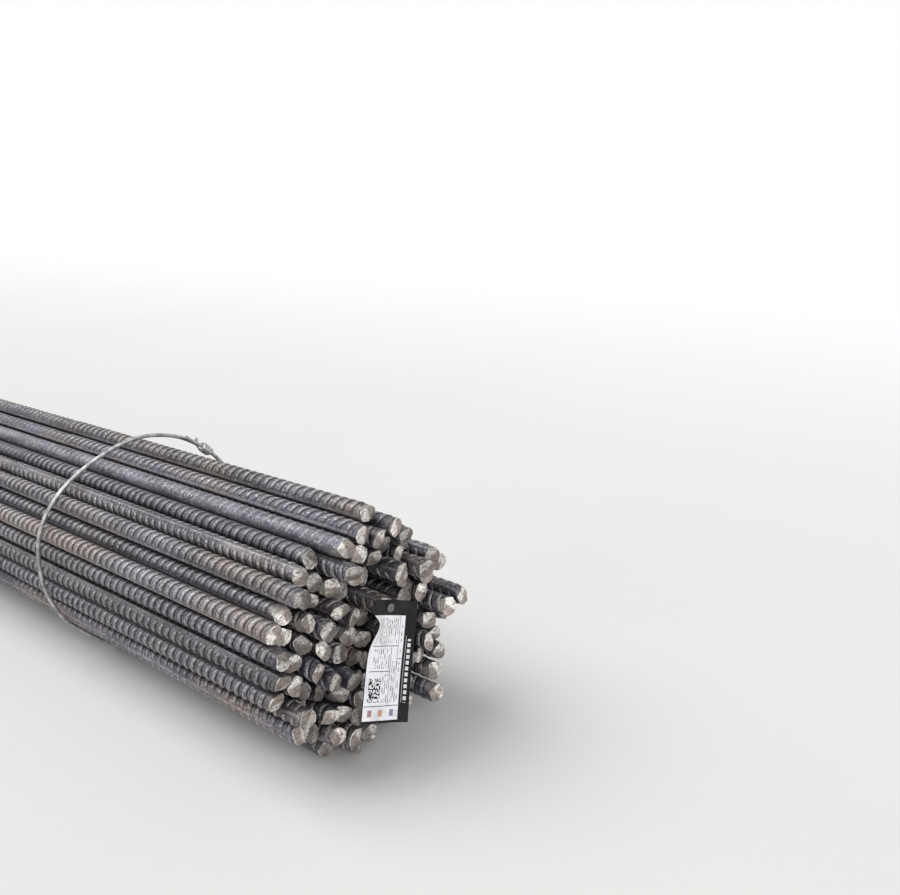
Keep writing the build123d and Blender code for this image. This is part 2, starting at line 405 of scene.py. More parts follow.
@dataclass(frozen=True)
class MillScale:
    """The skin of a hot-rolled bar: blue-grey scale, worn pale on the ribs and brown in places.

    It also carries painted shade at the ribs' feet and between neighbouring bars, and a pale
    lip at each cut that is partly a painted highlight.

    Each share says how far a colour covers what lies under it where it is strongest.
    """

    dark: Colour = colour(61, 60, 66)
    pale: Colour = colour(115, 113, 120)
    blue: Colour = colour(80, 83, 104)
    brown: Colour = colour(118, 102, 91)
    # Dark grit in the mottling, and the colour of the painted shade at the ribs' feet and between
    # bars
    grit_and_shade: Colour = colour(22, 20, 22)
    worn: Colour = colour(193, 190, 190)
    bruised_and_lip_highlight: Colour = colour(178, 171, 163)
    blue_share: float = 0.7
    brown_share: float = 0.65
    dapple_share: float = 0.8
    rust_share: float = 0.55
    worn_share: float = 0.65
    foot_shade_share: float = 0.95
    gap_shade_share: float = 0.93
    bruise_and_lip_highlight_share: float = 0.9
    scuff_scale: float = 430.0
    dapple_scale: float = 400.0
    tinge_scale: float = 34.0
    rib_height: float = 1.1 * MM
    skin_depth: float = 0.22 * MM
    metal: float = 0.3
    rough_scale: Pair = (0.58, 0.44)
    polish: float = 0.14

    def build(self, groups: SteelGroups) -> bpy.types.Material:
        """Makes the material.

        Args:
            groups: The shared shader groups.

        Returns:
            The material.
        """
        material, make, place, shader = new_material("mill_scale_steel")
        look, face = [make.painted("bar_look", output) for output in ("Color", "Alpha")]
        tone, rust, blue = make.node("ShaderNodeSeparateColor", {0: look}).outputs[:3]
        wear, pressed, relief, dirt_and_gap_shade, plain = [
            make.painted(name) for name in ("wear", "pressed", "relief", "dirt_and_gap_shade", "plain")
        ]
        around = make.node("ShaderNodeUVMap", uv_map="bar_map").outputs[0]
        skin = make.group(groups.skin, Vector=place)
        bloom = make.group(groups.rust, Vector=place, Amount=rust)
        ribs = make.group(groups.ribs, UV=around)
        drawn_ribs = make.times(ribs["Height"], relief)
        crest = make.math("MAXIMUM", wear, drawn_ribs)
        scuffs = make.noise(make.stretched(place, (0.7, 1.0, 1.0)), self.scuff_scale, 5.0, 0.8)
        catching = make.between(scuffs, 0.42, 0.62, 0.05, self.worn_share)
        rubbed = make.times(crest, make.line(plain, -0.6, 1.0), catching, clamp=True)

        base = make.mix(skin["Mottle"], self.dark, self.pale)
        base = make.mix(make.times(blue, self.blue_share), base, self.blue)
        tinge = make.noise(make.stretched(place, (0.25, 1.0, 1.0)), self.tinge_scale, 4.0, 0.6)
        tinge = make.between(tinge, 0.44, 0.64, 0.0, self.brown_share)
        tinged = make.times(tinge, make.times(rust, 3.0, clamp=True))
        base = make.mix(tinged, base, self.brown)
        dapple = make.noise(make.stretched(place, (0.85, 1.0, 1.0)), self.dapple_scale, 5.0, 0.85)
        base = make.mix(make.between(dapple, 0.53, 0.66, 0.0, self.dapple_share), base, self.worn)
        base = make.mix(make.between(dapple, 0.48, 0.36, 0.0, self.dapple_share), base, self.grit_and_shade)
        base = make.mix(make.times(bloom["Mask"], self.rust_share), base, bloom["Color"])
        base = make.mix(rubbed, base, self.worn)
        # Painted shade at the ribs' feet, weaker where the ribs are filled
        foot = make.times(ribs["Foot Shade"], make.line(plain, -0.9, self.foot_shade_share))
        base = make.mix(foot, base, self.grit_and_shade)
        # Painted shade in the gaps between neighbouring bars, darkest where they nearly touch
        base = make.mix(make.times(dirt_and_gap_shade, self.gap_shade_share), base, self.grit_and_shade)
        # Scraped flats where the shear pressed, and the pale lip at the cut, which is partly a
        # painted highlight
        scraped = make.between(scuffs, 0.34, 0.6, 0.4, self.bruise_and_lip_highlight_share)
        bruise_and_lip_highlight = make.times(pressed, scraped, clamp=True)
        bruise_and_lip_highlight = make.times(bruise_and_lip_highlight, make.between(face, 0.3, 0.9, 0.2, 1.0))
        base = make.lit_by(make.mix(bruise_and_lip_highlight, base, self.bruised_and_lip_highlight), make.line(tone, 0.9, 0.55))

        clean = make.math("SUBTRACT", 1.0, bloom["Mask"])
        dull = make.between(skin["Mottle"], 0.0, 1.0, *self.rough_scale)
        make.feed(shader, {
            "Base Color": base,
            "Metallic": make.times(clean, self.metal),
            "Roughness": make.line(rubbed, -self.polish, dull),
        })
        rib_height = make.times(drawn_ribs, self.rib_height)
        make.bump(
            shader, make.math("ADD", rib_height, make.times(skin["Height"], self.skin_depth))
        )
        return material


@dataclass(frozen=True)
class ShearedFace:
    """The cut across a bar: a burnished band where the blade went in and torn steel beyond it, with
    its rim in the burnished colour, partly a painted highlight.
    """

    torn: Colour = colour(158, 148, 141)
    burnished_and_rim_highlight: Colour = colour(238, 233, 227)
    stain: Colour = colour(108, 92, 80)
    pit: Colour = colour(72, 63, 57)
    stain_share: float = 0.6
    pit_share: float = 0.6
    streak_scale: float = 620.0
    pit_scale: float = 330.0
    depth: float = 0.42 * MM
    metal: float = 0.4
    rough: float = 0.48
    polish: float = 0.16

    def build(self, groups: SteelGroups) -> bpy.types.Material:
        """Makes the material.

        Args:
            groups: The shared shader groups.

        Returns:
            The material.
        """
        material, make, place, shader = new_material("sheared_steel")
        look, face = [make.painted("bar_look", output) for output in ("Color", "Alpha")]
        rust = make.node("ShaderNodeSeparateColor", {0: look}).outputs[1]
        rusted = make.line(rust, 0.5, 0.22)
        bloom = make.group(groups.rust, Vector=place, Amount=rusted, Patch_Scale=90.0)
        skin = make.group(
            groups.skin, Vector=place, Pit_Scale=1400.0, Mottle_Scale=240.0, Stretch=1.0
        )
        streaks = make.noise(make.stretched(place, (1.0, 0.22, 1.0)), self.streak_scale, 4.0, 0.7)
        pits = make.noise(place, self.pit_scale, 4.0, 0.7)
        whole = make.between(pits, 0.36, 0.56, 0.25, 1.0)
        # The burnished band, with the rim in full, partly a painted highlight
        burnish_and_rim_highlight = make.times(make.painted("wear"), whole, clamp=True)

        base = make.mix(burnish_and_rim_highlight, self.torn, self.burnished_and_rim_highlight)
        base = make.mix(make.times(bloom["Mask"], self.stain_share), base, self.stain)
        base = make.mix(make.between(pits, 0.46, 0.34, 0.0, self.pit_share), base, self.pit)
        lift = make.line(face, 0.8, 0.45)
        shade = make.times(lift, make.between(streaks, 0.36, 0.64, 0.68, 1.14))
        make.feed(shader, {
            "Base Color": make.lit_by(base, shade),
            "Metallic": self.metal,
            "Roughness": make.line(burnish_and_rim_highlight, -self.polish, self.rough),
        })
        torn = make.line(streaks, 0.5, make.line(pits, 1.2, skin["Height"]))
        make.bump(shader, make.times(torn, self.depth))
        return material


@dataclass(frozen=True)
class BrightWire:
    """Smooth pale wire with drawing marks along it and dull patches."""

    name: str = "tie_wire_steel"
    bright: Colour = colour(200, 199, 198)
    dull: Colour = colour(128, 127, 128)
    rust_share: float = 0.12
    depth: float = 0.08 * MM
    metal: float = 0.6
    rough: Pair = (0.52, 0.36)

    def build(self, groups: SteelGroups) -> bpy.types.Material:
        """Makes the material.

        Args:
            groups: The shared shader groups.

        Returns:
            The material.
        """
        material, make, place, shader = new_material(self.name)
        skin = make.group(
            groups.skin, Vector=place, Pit_Scale=1200.0, Mottle_Scale=110.0, Stretch=1.0
        )
        bloom = make.group(groups.rust, Vector=place, Amount=self.rust_share, Patch_Scale=40.0)
        base = make.mix(skin["Mottle"], self.dull, self.bright)
        make.feed(shader, {
            "Base Color": make.mix(make.times(bloom["Mask"], 0.6), base, bloom["Color"]),
            "Metallic": self.metal,
            "Roughness": make.between(skin["Mottle"], 0.0, 1.0, *self.rough),
        })
        make.bump(shader, make.times(skin["Height"], self.depth))
        return material


@dataclass(frozen=True)
class TagPrint:
    """A plain black tag with a pale label of ruled lines and blocks, read from the tag's own map.

    The map's U goes across the tag and V up it, both in millimetres from the lower left corner.
    Each place is its left, right, low and high side.
    """

    black: Colour = colour(19, 18, 22)
    label: Colour = colour(243, 243, 247)
    line: Colour = colour(88, 90, 96)
    block: Colour = colour(40, 40, 44)
    dust: Colour = colour(120, 112, 104)
    label_place: tuple = (0.0, 41.8, 2.4, 93.5)
    rules: tuple = (
        (0.8, 41.4, 14.5, 15.2),
        (3.5, 28.0, 44.2, 44.9),
        (3.5, 36.0, 66.3, 67.0),
        (28.0, 28.6, 15.0, 66.5),
        (35.8, 36.3, 45.0, 93.0),
        (36.3, 41.5, 55.0, 55.6),
    )
    lined_places: tuple = (
        (20.0, 27.0, 18.0, 42.0),
        (7.0, 27.0, 47.0, 64.0),
        (5.0, 34.0, 69.0, 91.0),
        (30.0, 40.8, 18.0, 53.0),
        (37.5, 41.0, 58.0, 90.0),
    )
    lines_apart: float = 1.3
    line_share: float = 0.85
    block_place: tuple = (4.0, 18.4, 18.2, 38.6)
    blocks_per_mm: float = 0.9
    dash_place: tuple = (46.6, 50.2, 17.0, 73.0)
    dashes_apart: float = 2.6
    rule_on_black: tuple = (44.4, 44.8, 17.0, 76.0)
    pale_share: float = 0.8
    mark_half: float = 2.4
    mark_rows: Pair = (5.8, 11.6)
    marks: tuple = (
        (8.0, colour(146, 88, 84)),
        (20.5, colour(206, 142, 84)),
        (34.0, colour(78, 90, 130)),
    )
    wrinkle: float = 0.35 * MM
    gloss: float = 0.25
    rough: Pair = (0.42, 0.6)

    def build(self) -> bpy.types.Material:
        """Makes the material, with nothing legible on it."""
        material, make, place, shader = new_material("printed_tag")
        spot = make.node("ShaderNodeUVMap", uv_map="tag_map").outputs[0]
        parts = make.node("ShaderNodeSeparateXYZ", {0: spot}).outputs
        across, up = parts["X"], parts["Y"]
        label = self.inside(make, across, up, *self.label_place)
        base = make.mix(label, self.black, self.label)
        base = make.mix(make.times(self.lines(make, across, up), label), base, self.line)
        base = make.mix(self.blocks(make, across, up), base, self.block)
        dashes = make.times(self.dashes(make, across, up), self.pale_share)
        base = make.mix(dashes, base, self.label)
        for middle, shade in self.marks:
            sides = middle - self.mark_half, middle + self.mark_half
            mark = self.inside(make, across, up, *sides, *self.mark_rows)
            base = make.mix(make.times(mark, self.pale_share), base, shade)
        dirt_and_gap_shade = make.noise(place, 70.0, 5.0, 0.6)
        dusty = make.between(dirt_and_gap_shade, 0.42, 0.78, 0.0, 0.35)
        base = make.mix(make.times(dusty, make.line(label, 0.65, 0.35)), base, self.dust)
        make.feed(shader, {
            "Base Color": base,
            "Roughness": make.between(dirt_and_gap_shade, 0.3, 0.7, *self.rough),
            "Specular IOR Level": self.gloss,
        })
        wrinkles = make.noise(make.stretched(place, (1.0, 1.0, 0.5)), 160.0, 3.0, 0.5)
        make.bump(shader, make.times(wrinkles, self.wrinkle), 0.8)
        return material

    def lines(self, make: Tree, across: Any, up: Any) -> bpy.types.NodeSocket:
        """A mask of the ruled lines, and of the broken ones that stand for what is printed."""
        lines: Any = 0.0
        for rule in self.rules:
            lines = make.math("MAXIMUM", lines, self.inside(make, across, up, *rule))
        columns = make.math("LESS_THAN", make.math("PINGPONG", across, self.lines_apart), 0.52)
        ragged = make.vector(make.times(across, 0.43), make.times(up, 0.2))
        ragged = make.noise(ragged, 1.0, 2.0, 0.5)
        columns = make.times(columns, make.between(ragged, 0.47, 0.53))
        for lined in self.lined_places:
            inside = make.times(columns, self.inside(make, across, up, *lined))
            lines = make.math("MAXIMUM", lines, make.times(inside, self.line_share))
        return lines

    def blocks(self, make: Tree, across: Any, up: Any) -> bpy.types.NodeSocket:
        """A mask of scattered square blocks, which say nothing."""
        cell = [
            make.math("FLOOR", make.times(value, self.blocks_per_mm)) for value in (across, up)
        ]
        scatter = make.node(
            "ShaderNodeTexWhiteNoise", {"Vector": make.vector(*cell)}, noise_dimensions="3D"
        )
        filled = make.math("GREATER_THAN", scatter.outputs["Value"], 0.42)
        return make.times(self.inside(make, across, up, *self.block_place), filled)

    def dashes(self, make: Tree, across: Any, up: Any) -> bpy.types.NodeSocket:
        """A mask of the row of dashes on the black, and of the thin rule beside it."""
        dashes = make.math("LESS_THAN", make.math("PINGPONG", up, self.dashes_apart), 1.7)
        dashes = make.times(dashes, self.inside(make, across, up, *self.dash_place))
        return make.math("MAXIMUM", dashes, self.inside(make, across, up, *self.rule_on_black))

    @staticmethod
    def inside(
        make: Tree, across: Any, up: Any, left: float, right: float, low: float, high: float
    ) -> bpy.types.NodeSocket:
        """1 inside a rectangle of the map and 0 outside it."""
        sides = make.math("GREATER_THAN", across, left), make.math("LESS_THAN", across, right)
        ends = make.math("GREATER_THAN", up, low), make.math("LESS_THAN", up, high)
        return make.times(make.times(*sides), make.times(*ends))


# ---- Bars


@dataclass
class Bar:
    """One bar as the frame has it, and how it was rolled, cut and weathered.

    Attributes:
        y: Middle of the bar across the bundle.
        z: Middle of the bar above the floor.
        near: Where its +X end is.
        far: Where its -X end is.
        roll: How far its seams are turned round its axis.
        first_rib: Where the rib nearest the +X end is.
        look: Tone, rust, blueness and brightness of the cut, each from 0 to 1.
        outer: Whether it shows from outside the bundle.
        ribs_out: Whether one of its two rows of ribs faces outward.
        plain: How far its ribs are filled, from 0 to 1.
    """

    y: float
    z: float
    near: float
    far: float
    roll: float = 0.0
    first_rib: float = 0.0
    look: tuple[float, float, float, float] = (0.5, 0.2, 0.2, 0.5)
    outer: bool = False
    ribs_out: bool = False
    plain: float = 0.0

    def apart(self, other: "Bar") -> float:
        """How far the middle of another bar is from this one's."""
        return math.hypot(other.y - self.y, other.z - self.z)


@dataclass(frozen=True)
class BarSection:
    """The cross-section of a ribbed bar: a round core and two seams that run along it."""

    core: float = 8.15 * MM
    crest: float = 9.27 * MM
    seam_foot: float = math.radians(11.0)
    seam_top: float = math.radians(5.0)
    seam_rise: float = 0.9 * MM
    seam_wear: float = 0.5
    arc_points: int = 11

    def ring(self) -> tuple[np.ndarray, np.ndarray, np.ndarray]:
        """Angle, radius and wear of each point round the bar, from one seam's foot on."""
        raised = self.core + self.seam_rise
        ring = []
        for seam in (0.0, math.pi):
            ring += [
                (seam - self.seam_foot, self.core, 0.0),
                (seam - self.seam_top, raised, self.seam_wear),
                (seam + self.seam_top, raised, self.seam_wear),
                (seam + self.seam_foot, self.core, 0.0),
            ]
            span = math.pi - 2 * self.seam_foot
            for step in range(1, self.arc_points + 1):
                angle = seam + self.seam_foot + span * step / (self.arc_points + 1)
                ring.append((angle, self.core, 0.0))
        angles, radii, wear = np.array(ring).T.copy()
        return angles, radii, wear


@dataclass(frozen=True)
class RibShape:
    """One pair of crescent ribs, mirrored about the seams, and how the pairs repeat."""

    section: BarSection = BarSection()
    pitch: float = 10.8 * MM
    lean: float = 7.0 * MM
    foot: float = 5.2 * MM
    top: float = 3.7 * MM
    sunk: float = 0.3 * MM
    margin: float = math.radians(10.0)
    fullness: float = 0.4
    unevenness: float = 0.25 * MM
    seed: int = 4

    def pair(
        self, name: str, steps: int, flat: bool, sides: tuple[int, ...] = (1, -1)
    ) -> bpy.types.Object:
        """Builds the ribs of one pitch as closed crescents round the X axis.

        Args:
            name: The name of the object.
            steps: How many runs each crescent is divided into.
            flat: Whether the rib has a flat top or comes to a ridge.
            sides: The sides of the bar that get a rib.

        Returns:
            The object, which is only instanced.
        """
        ridge = ((-1, True), (1, True)) if flat else ((0, True),)
        across_rib = ((-1, False), *ridge, (1, False))
        points, wear, faces, smooth = [], [], [], []
        for side in sides:
            start = len(points)
            for step in range(steps + 1):
                for point, worn in self.crescent_at(step / steps, side, across_rib):
                    points.append(point)
                    wear.append(worn)
            groups = [(start,) * len(across_rib)]
            for first in range(start + 1, len(points) - 1, len(across_rib)):
                groups.append(tuple(range(first, first + len(across_rib))))
            groups.append((len(points) - 1,) * len(across_rib))
            for before, after in zip(groups, groups[1:]):
                for first in range(len(across_rib)):
                    second = (first + 1) % len(across_rib)
                    corners = [before[first], before[second], after[second], after[first]]
                    pairs = zip(corners[-1:] + corners, corners)
                    kept = [corner for previous, corner in pairs if corner != previous]
                    faces.append(tuple(kept[::-side]))
                    smooth.append(second != 0)
        mesh = bpy.data.meshes.new(name)
        mesh.from_pydata(points, [], faces)
        paint(mesh, "wear", wear)
        mesh.polygons.foreach_set("use_smooth", smooth)
        return put_in_scene(name, mesh)

    def crescent_at(self, share: float, side: int, across_rib: tuple) -> list[tuple]:
        """The points across a rib, each with its wear, at one share of the way round its side."""
        low = self.section.core - self.sunk
        angle = self.margin + (math.pi - 2 * self.margin) * share
        middle = self.lean * (angle / math.pi - 0.5)
        across, up = math.cos(side * angle), math.sin(side * angle)
        if share in (0.0, 1.0):
            return [((middle, low * across, low * up), 0.0)]
        height = math.sin(math.pi * share) ** self.fullness
        crest = low + (self.section.crest - low) * height
        found = []
        for offset, raised in across_rib:
            half = (self.top if raised else self.foot) / 2 * (0.5 + 0.5 * height)
            radius = crest if raised else low
            point = (middle + offset * half, radius * across, radius * up)
            found.append((point, raised * min(1.0, height * 1.2)))
        return found

    def rows_tree(self) -> bpy.types.NodeTree:
        """A geometry tree that repeats a pair of ribs along each bar from its starting point."""
        tree = bpy.data.node_groups.new("Rib Rows", "GeometryNodeTree")
        socket(tree, "Starts", "Geometry")
        socket(tree, "Rib Pair", "Object")
        socket(tree, "Pitch", "Float", value=self.pitch)
        socket(tree, "Count", "Int", value=10)
        socket(tree, "Unevenness", "Float", value=self.unevenness)
        socket(tree, "Seed", "Int", value=self.seed)
        socket(tree, "Steel", "Material")
        socket(tree, "Ribs", "Geometry", "OUTPUT")
        make = Tree(tree)

        def geometry(kind: str, inputs: dict[Any, Any], **settings: Any) -> bpy.types.NodeSocket:
            """Adds one geometry node, and its first output."""
            return make.node(f"GeometryNode{kind}", inputs, **settings).outputs[0]

        given = make.node("NodeGroupInput").outputs
        step = make.node("ShaderNodeCombineXYZ", {"X": make.times(given["Pitch"], -1.0)})
        line = {"Count": given["Count"], "Offset": step.outputs[0]}
        line = geometry("MeshLine", line, mode="OFFSET")
        runs = geometry("InstanceOnPoints", {"Points": given["Starts"], "Instance": line})
        places = geometry("RealizeInstances", {0: runs})
        nudge = {2: -1.0, 3: 1.0, "Seed": given["Seed"]}
        nudge = make.node("FunctionNodeRandomValue", nudge, data_type="FLOAT").outputs[1]
        shift = make.node("ShaderNodeCombineXYZ", {"X": make.times(nudge, given["Unevenness"])})
        places = geometry("SetPosition", {"Geometry": places, "Offset": shift.outputs[0]})
        roll = geometry("InputNamedAttribute", {"Name": "roll"}, data_type="FLOAT")
        rolled = make.node("ShaderNodeCombineXYZ", {"X": roll}).outputs[0]
        pair = {"Object": given["Rib Pair"], "As Instance": True}
        pair = make.node("GeometryNodeObjectInfo", pair)
        ribs = {"Points": places, "Instance": pair.outputs["Geometry"], "Rotation": rolled}
        solid = geometry("RealizeInstances", {0: geometry("InstanceOnPoints", ribs)})
        dressed = geometry("SetMaterial", {"Geometry": solid, "Material": given["Steel"]})
        make.node("NodeGroupOutput", {"Ribs": dressed})
        return tree


class RibKit:
    """The rib pairs and the tree that repeats them, built once for all rows."""

    def __init__(self, shape: RibShape) -> None:
        """Builds a finely divided pair, a plainer one, a single rib and the tree."""
        self.ribs = {
            RibKind.FINE: shape.pair(RibKind.FINE.value, 8, flat=True),
            RibKind.PLAIN: shape.pair(RibKind.PLAIN.value, 4, flat=False),
            RibKind.OUTWARD: shape.pair(RibKind.OUTWARD.value, 4, flat=False, sides=(-1,)),
        }
        self.tree = shape.rows_tree()

    def run(
        self, kind: RibKind, count: int, carrier: bpy.types.Object, steel: bpy.types.Material
    ) -> bpy.types.Mesh:
        """Repeats ribs from each point of a carrier with the geometry tree.

        Args:
            kind: Which ribs.
            count: How many follow from each point.
            carrier: An object whose points say where the runs start.
            steel: The ribs' finish.

        Returns:
            The ribs as a plain mesh.
        """
        modifier = carrier.modifiers.new("Rib Rows", "NODES")
        modifier.node_group = self.tree
        named = {item.name: item.identifier for item in self.tree.interface.items_tree}
        modifier[named["Rib Pair"]] = self.ribs[kind]
        modifier[named["Count"]] = count
        modifier[named["Steel"]] = steel
        graph = bpy.context.evaluated_depsgraph_get()
        made = bpy.data.meshes.new_from_object(carrier.evaluated_get(graph), depsgraph=graph)
        carrier.modifiers.remove(modifier)
        return made

    def clear(self) -> None:
        """Removes the pairs, which are only instanced."""
        for made in self.ribs.values():
            bpy.data.objects.remove(made)


def headings(angles: np.ndarray) -> np.ndarray:
    """The way that each angle points, across and up."""
    return np.stack([np.cos(angles), np.sin(angles)], axis=1)


def along(offsets: np.ndarray, ways: np.ndarray) -> np.ndarray:
    """How far each offset goes along its own way."""
    return (offsets * ways).sum(axis=1)


@dataclass(frozen=True)
class Cut:
    """How one end of one bar was sheared: how deep each mark is, and which side has it."""

    blade: float
    press: float
    reach: float
    knock: float
    knock_way: float
    dent: float
    tilt: float
    tilt_way: float
    burr: float
    facet: float
    facet_way: float
    facet_at: float


@dataclass(frozen=True)
class Shear:
    """What the shear does to the last few centimetres of a bar.

    The blade presses one side and the bed dents the other. A knock flattens a third, a facet is
    a corner that broke off, and hold is how far from the end the face's slope is carried.
    """

    section: BarSection = BarSection()
    reach: float = 32.0 * MM
    hold: float = 9.0 * MM
    press: Pair = (0.9 * MM, 4.8 * MM)
    press_reach: Pair = (10.0 * MM, 22.0 * MM)
    knock: Pair = (0.2 * MM, 3.6 * MM)
    dent: Pair = (0.2 * MM, 1.8 * MM)
    tilt: Pair = (math.radians(2.0), math.radians(15.0))
    burr: Pair = (0.2 * MM, 1.6 * MM)
    facet: Pair = (math.radians(6.0), math.radians(34.0))
    facet_at: Pair = (-0.1, 0.6)
    rollover: float = 1.8 * MM
    seldom: float = 1.8
    tear: float = 0.3 * MM
    widest: float = 9.28 * MM
    widening: float = 0.07
    lip_highlight: float = 2.2 * MM
    lip_highlight_share: float = 0.75
    flat_edge: float = 0.9 * MM

    def cut(self, chance: random.Random) -> Cut:
        """Draws one end's shear marks."""
        blade = chance.uniform(0.0, 2 * math.pi)
        return Cut(
            blade=blade,
            press=self.mostly_low(chance, self.press),
            reach=chance.uniform(*self.press_reach),
            knock=self.mostly_low(chance, self.knock),
            knock_way=blade + chance.choice((-1.0, 1.0)) * chance.uniform(1.0, 2.0),
            dent=chance.uniform(*self.dent),
            tilt=chance.uniform(*self.tilt),
            tilt_way=blade + chance.gauss(0.0, 0.6),
            burr=chance.uniform(*self.burr),
            facet=chance.uniform(*self.facet),
            facet_way=blade + chance.uniform(1.0, 5.3),
            facet_at=chance.uniform(*self.facet_at),
        )

    def mostly_low(self, chance: random.Random, span: Pair) -> float:
        """A value between the two of span, seldom near the higher one."""
        return span[0] + (span[1] - span[0]) * chance.random() ** self.seldom

    def shape(
        self, points: np.ndarray, owner: np.ndarray, bars: list[Bar], cuts: list[Cut], end: End
    ) -> tuple[np.ndarray, np.ndarray]:
        """Presses and cuts one end of the bars that points belong to.

        Args:
            points: Every point of the row, in the frame.
            owner: The number of the bar that each point belongs to.
            bars: The row's bars.
            cuts: The shear marks of each bar at this end.
            end: Which end.

        Returns:
            The moved points, and how strongly each was pressed, from 0 to 1, counting a pale lip at
            the cut that is partly a painted highlight.
        """
        toward = float(end.value)
        at = np.array([bar.near if end is End.NEAR else bar.far for bar in bars])[owner]
        middle = np.array([(bar.y, bar.z) for bar in bars])[owner]
        marks = {
            name: np.array([getattr(cut, name) for cut in cuts])[owner]
            for name in Cut.__dataclass_fields__
        }
        inward = (at - points[:, 0]) * toward
        close = inward < self.reach
        fade = np.clip(1.0 - inward / marks["reach"], 0.0, 1.0)
        offset = self.knocked(points[:, 1:] - middle, marks, fade)
        moved, above = self.pressed(offset, marks, fade)
        slope = self.slope(moved, marks, at)
        hold = np.clip(1.0 - inward / self.hold, 0.0, 1.0)
        result = points.copy()
        result[:, 0] += np.where(close, toward * slope * hold, 0.0)
        result[:, 1:] = np.where(close[:, None], middle + moved, points[:, 1:])
        flat = np.clip(above / self.flat_edge + 0.4, 0.0, 1.0) * np.clip(fade * 2.2, 0.0, 1.0)
        # The skin within the lip's width of the cut is counted as pressed: a pale lip, partly
        # scrape, partly a painted highlight
        lip_highlight = np.clip(1.0 - inward / self.lip_highlight, 0.0, 1.0) * self.lip_highlight_share
        return result, np.where(close, np.maximum(flat, lip_highlight), 0.0)

    def knocked(self, offset: np.ndarray, marks: dict, fade: np.ndarray) -> np.ndarray:
        """Offsets from the bars' middles with the second flat pressed in."""
        core, crest = self.section.core, self.section.crest
        way = headings(marks["knock_way"])
        depth = (marks["knock"] + crest - core) * np.clip(fade * 1.3 - 0.3, 0.0, 1.0)
        over = np.maximum(along(offset, way) - (crest - depth), 0.0)
        return offset - (over * 0.85)[:, None] * way

    def pressed(
        self, offset: np.ndarray, marks: dict, fade: np.ndarray
    ) -> tuple[np.ndarray, np.ndarray]:
        """Offsets flattened between the blade and the bed, and how far each was over the flat."""
        core, crest = self.section.core, self.section.crest
        facing = headings(marks["blade"])
        side = np.stack([-facing[:, 1], facing[:, 0]], axis=1)
        height, width = along(offset, facing), along(offset, side)
        ceiling = crest - (marks["press"] + crest - core) * fade**0.8
        pushed = np.where(height > ceiling, ceiling + 0.15 * (height - ceiling), height)
        ground = -crest + (marks["dent"] + crest - core) * fade**1.4
        pushed = np.where(pushed < ground, ground + 0.2 * (pushed - ground), pushed)
        spread = width * (1.0 + self.widening * fade**2)
        shrink = np.minimum(1.0, self.widest / np.maximum(np.hypot(pushed, spread), 1e-9))
        pushed, spread = pushed * shrink, spread * shrink
        return pushed[:, None] * facing + spread[:, None] * side, height - ceiling

    def slope(self, moved: np.ndarray, marks: dict, at: np.ndarray) -> np.ndarray:
        """How far the face stands out at each point, with its tilt, tear, burr and corner."""
        share = along(moved, headings(marks["blade"])) / self.section.core
        slope = -np.tan(marks["tilt"]) * along(moved, headings(marks["tilt_way"]))
        slope -= self.rollover * np.clip((share - 0.05) / 0.55, 0.0, 1.0) ** 1.3
        slope += marks["burr"] * np.clip((-share - 0.62) / 0.38, 0.0, 1.0)
        corner = along(moved, headings(marks["facet_way"])) - marks["facet_at"] * self.section.core
        slope -= np.tan(marks["facet"]) * np.maximum(corner, 0.0)
        torn = np.clip((0.35 - share) / 0.3, 0.0, 1.0) * np.clip((share + 1.0) / 0.3, 0.0, 1.0)
        rough = np.sin(moved[:, 0] * 1700 + at * 900) * np.sin(moved[:, 1] * 1500 + at * 500)
        return slope + self.tear * torn * rough


class Shell:
    """Gathers the points, faces and painted values of one piece of steel."""

    def __init__(self) -> None:
        """Starts empty."""
        self.points: list[np.ndarray] = []
        self.values: dict[str, list[np.ndarray]] = {"wear": [], "relief": [], "owner": []}
        self.faces: list[np.ndarray] = []
        self.sizes: list[np.ndarray] = []
        self.maps: list[np.ndarray] = []
        self.materials: list[np.ndarray] = []
        self.smooth: list[np.ndarray] = []
        self.count = 0

    def add(
        self,
        points: np.ndarray,
        corners: np.ndarray,
        sizes: np.ndarray,
        material: int,
        smooth: np.ndarray | bool,
        uv: np.ndarray | None = None,
        **values: Any,
    ) -> None:
        """Adds points and the faces on them.

        Args:
            points: The new points.
            corners: The points of all faces in order, counted from the first new point.
            sizes: How many corners each face has.
            material: The material slot of the faces.
            smooth: Whether each face is shaded smoothly.
            uv: The map's place at each corner.
            values: wear, relief and owner of each point.
        """
        self.points.append(points)
        self.faces.append(corners + self.count)
        self.sizes.append(sizes)
        self.materials.append(np.full(len(sizes), material))
        self.smooth.append(np.broadcast_to(smooth, len(sizes)))
        self.maps.append(np.zeros((len(corners), 2)) if uv is None else uv)
        for name, kept in self.values.items():
            kept.append(np.broadcast_to(values.get(name, 0.0), len(points)))
        self.count += len(points)

    def value(self, name: str) -> np.ndarray:
        """One painted value of all points."""
        return np.concatenate(self.values[name])

    def mesh(self, name: str, points: np.ndarray) -> bpy.types.Mesh:
        """Makes the mesh, with points in the places given."""
        corners, sizes = np.concatenate(self.faces), np.concatenate(self.sizes)
        starts, slots = np.cumsum(sizes) - sizes, np.concatenate(self.materials)
        mesh = bpy.data.meshes.new(name)
        mesh.vertices.add(len(points))
        mesh.vertices.foreach_set("co", points.ravel())
        mesh.loops.add(len(corners))
        mesh.loops.foreach_set("vertex_index", corners.astype(np.int32))
        mesh.polygons.add(len(sizes))
        mesh.polygons.foreach_set("loop_start", starts.astype(np.int32))
        mesh.polygons.foreach_set("material_index", slots.astype(np.int32))
        mesh.polygons.foreach_set("use_smooth", np.concatenate(self.smooth).astype(bool))
        mesh.update(calc_edges=True)
        mesh.uv_layers.new(name="bar_map").uv.foreach_set(
            "vector", np.concatenate(self.maps).ravel()
        )
        return mesh


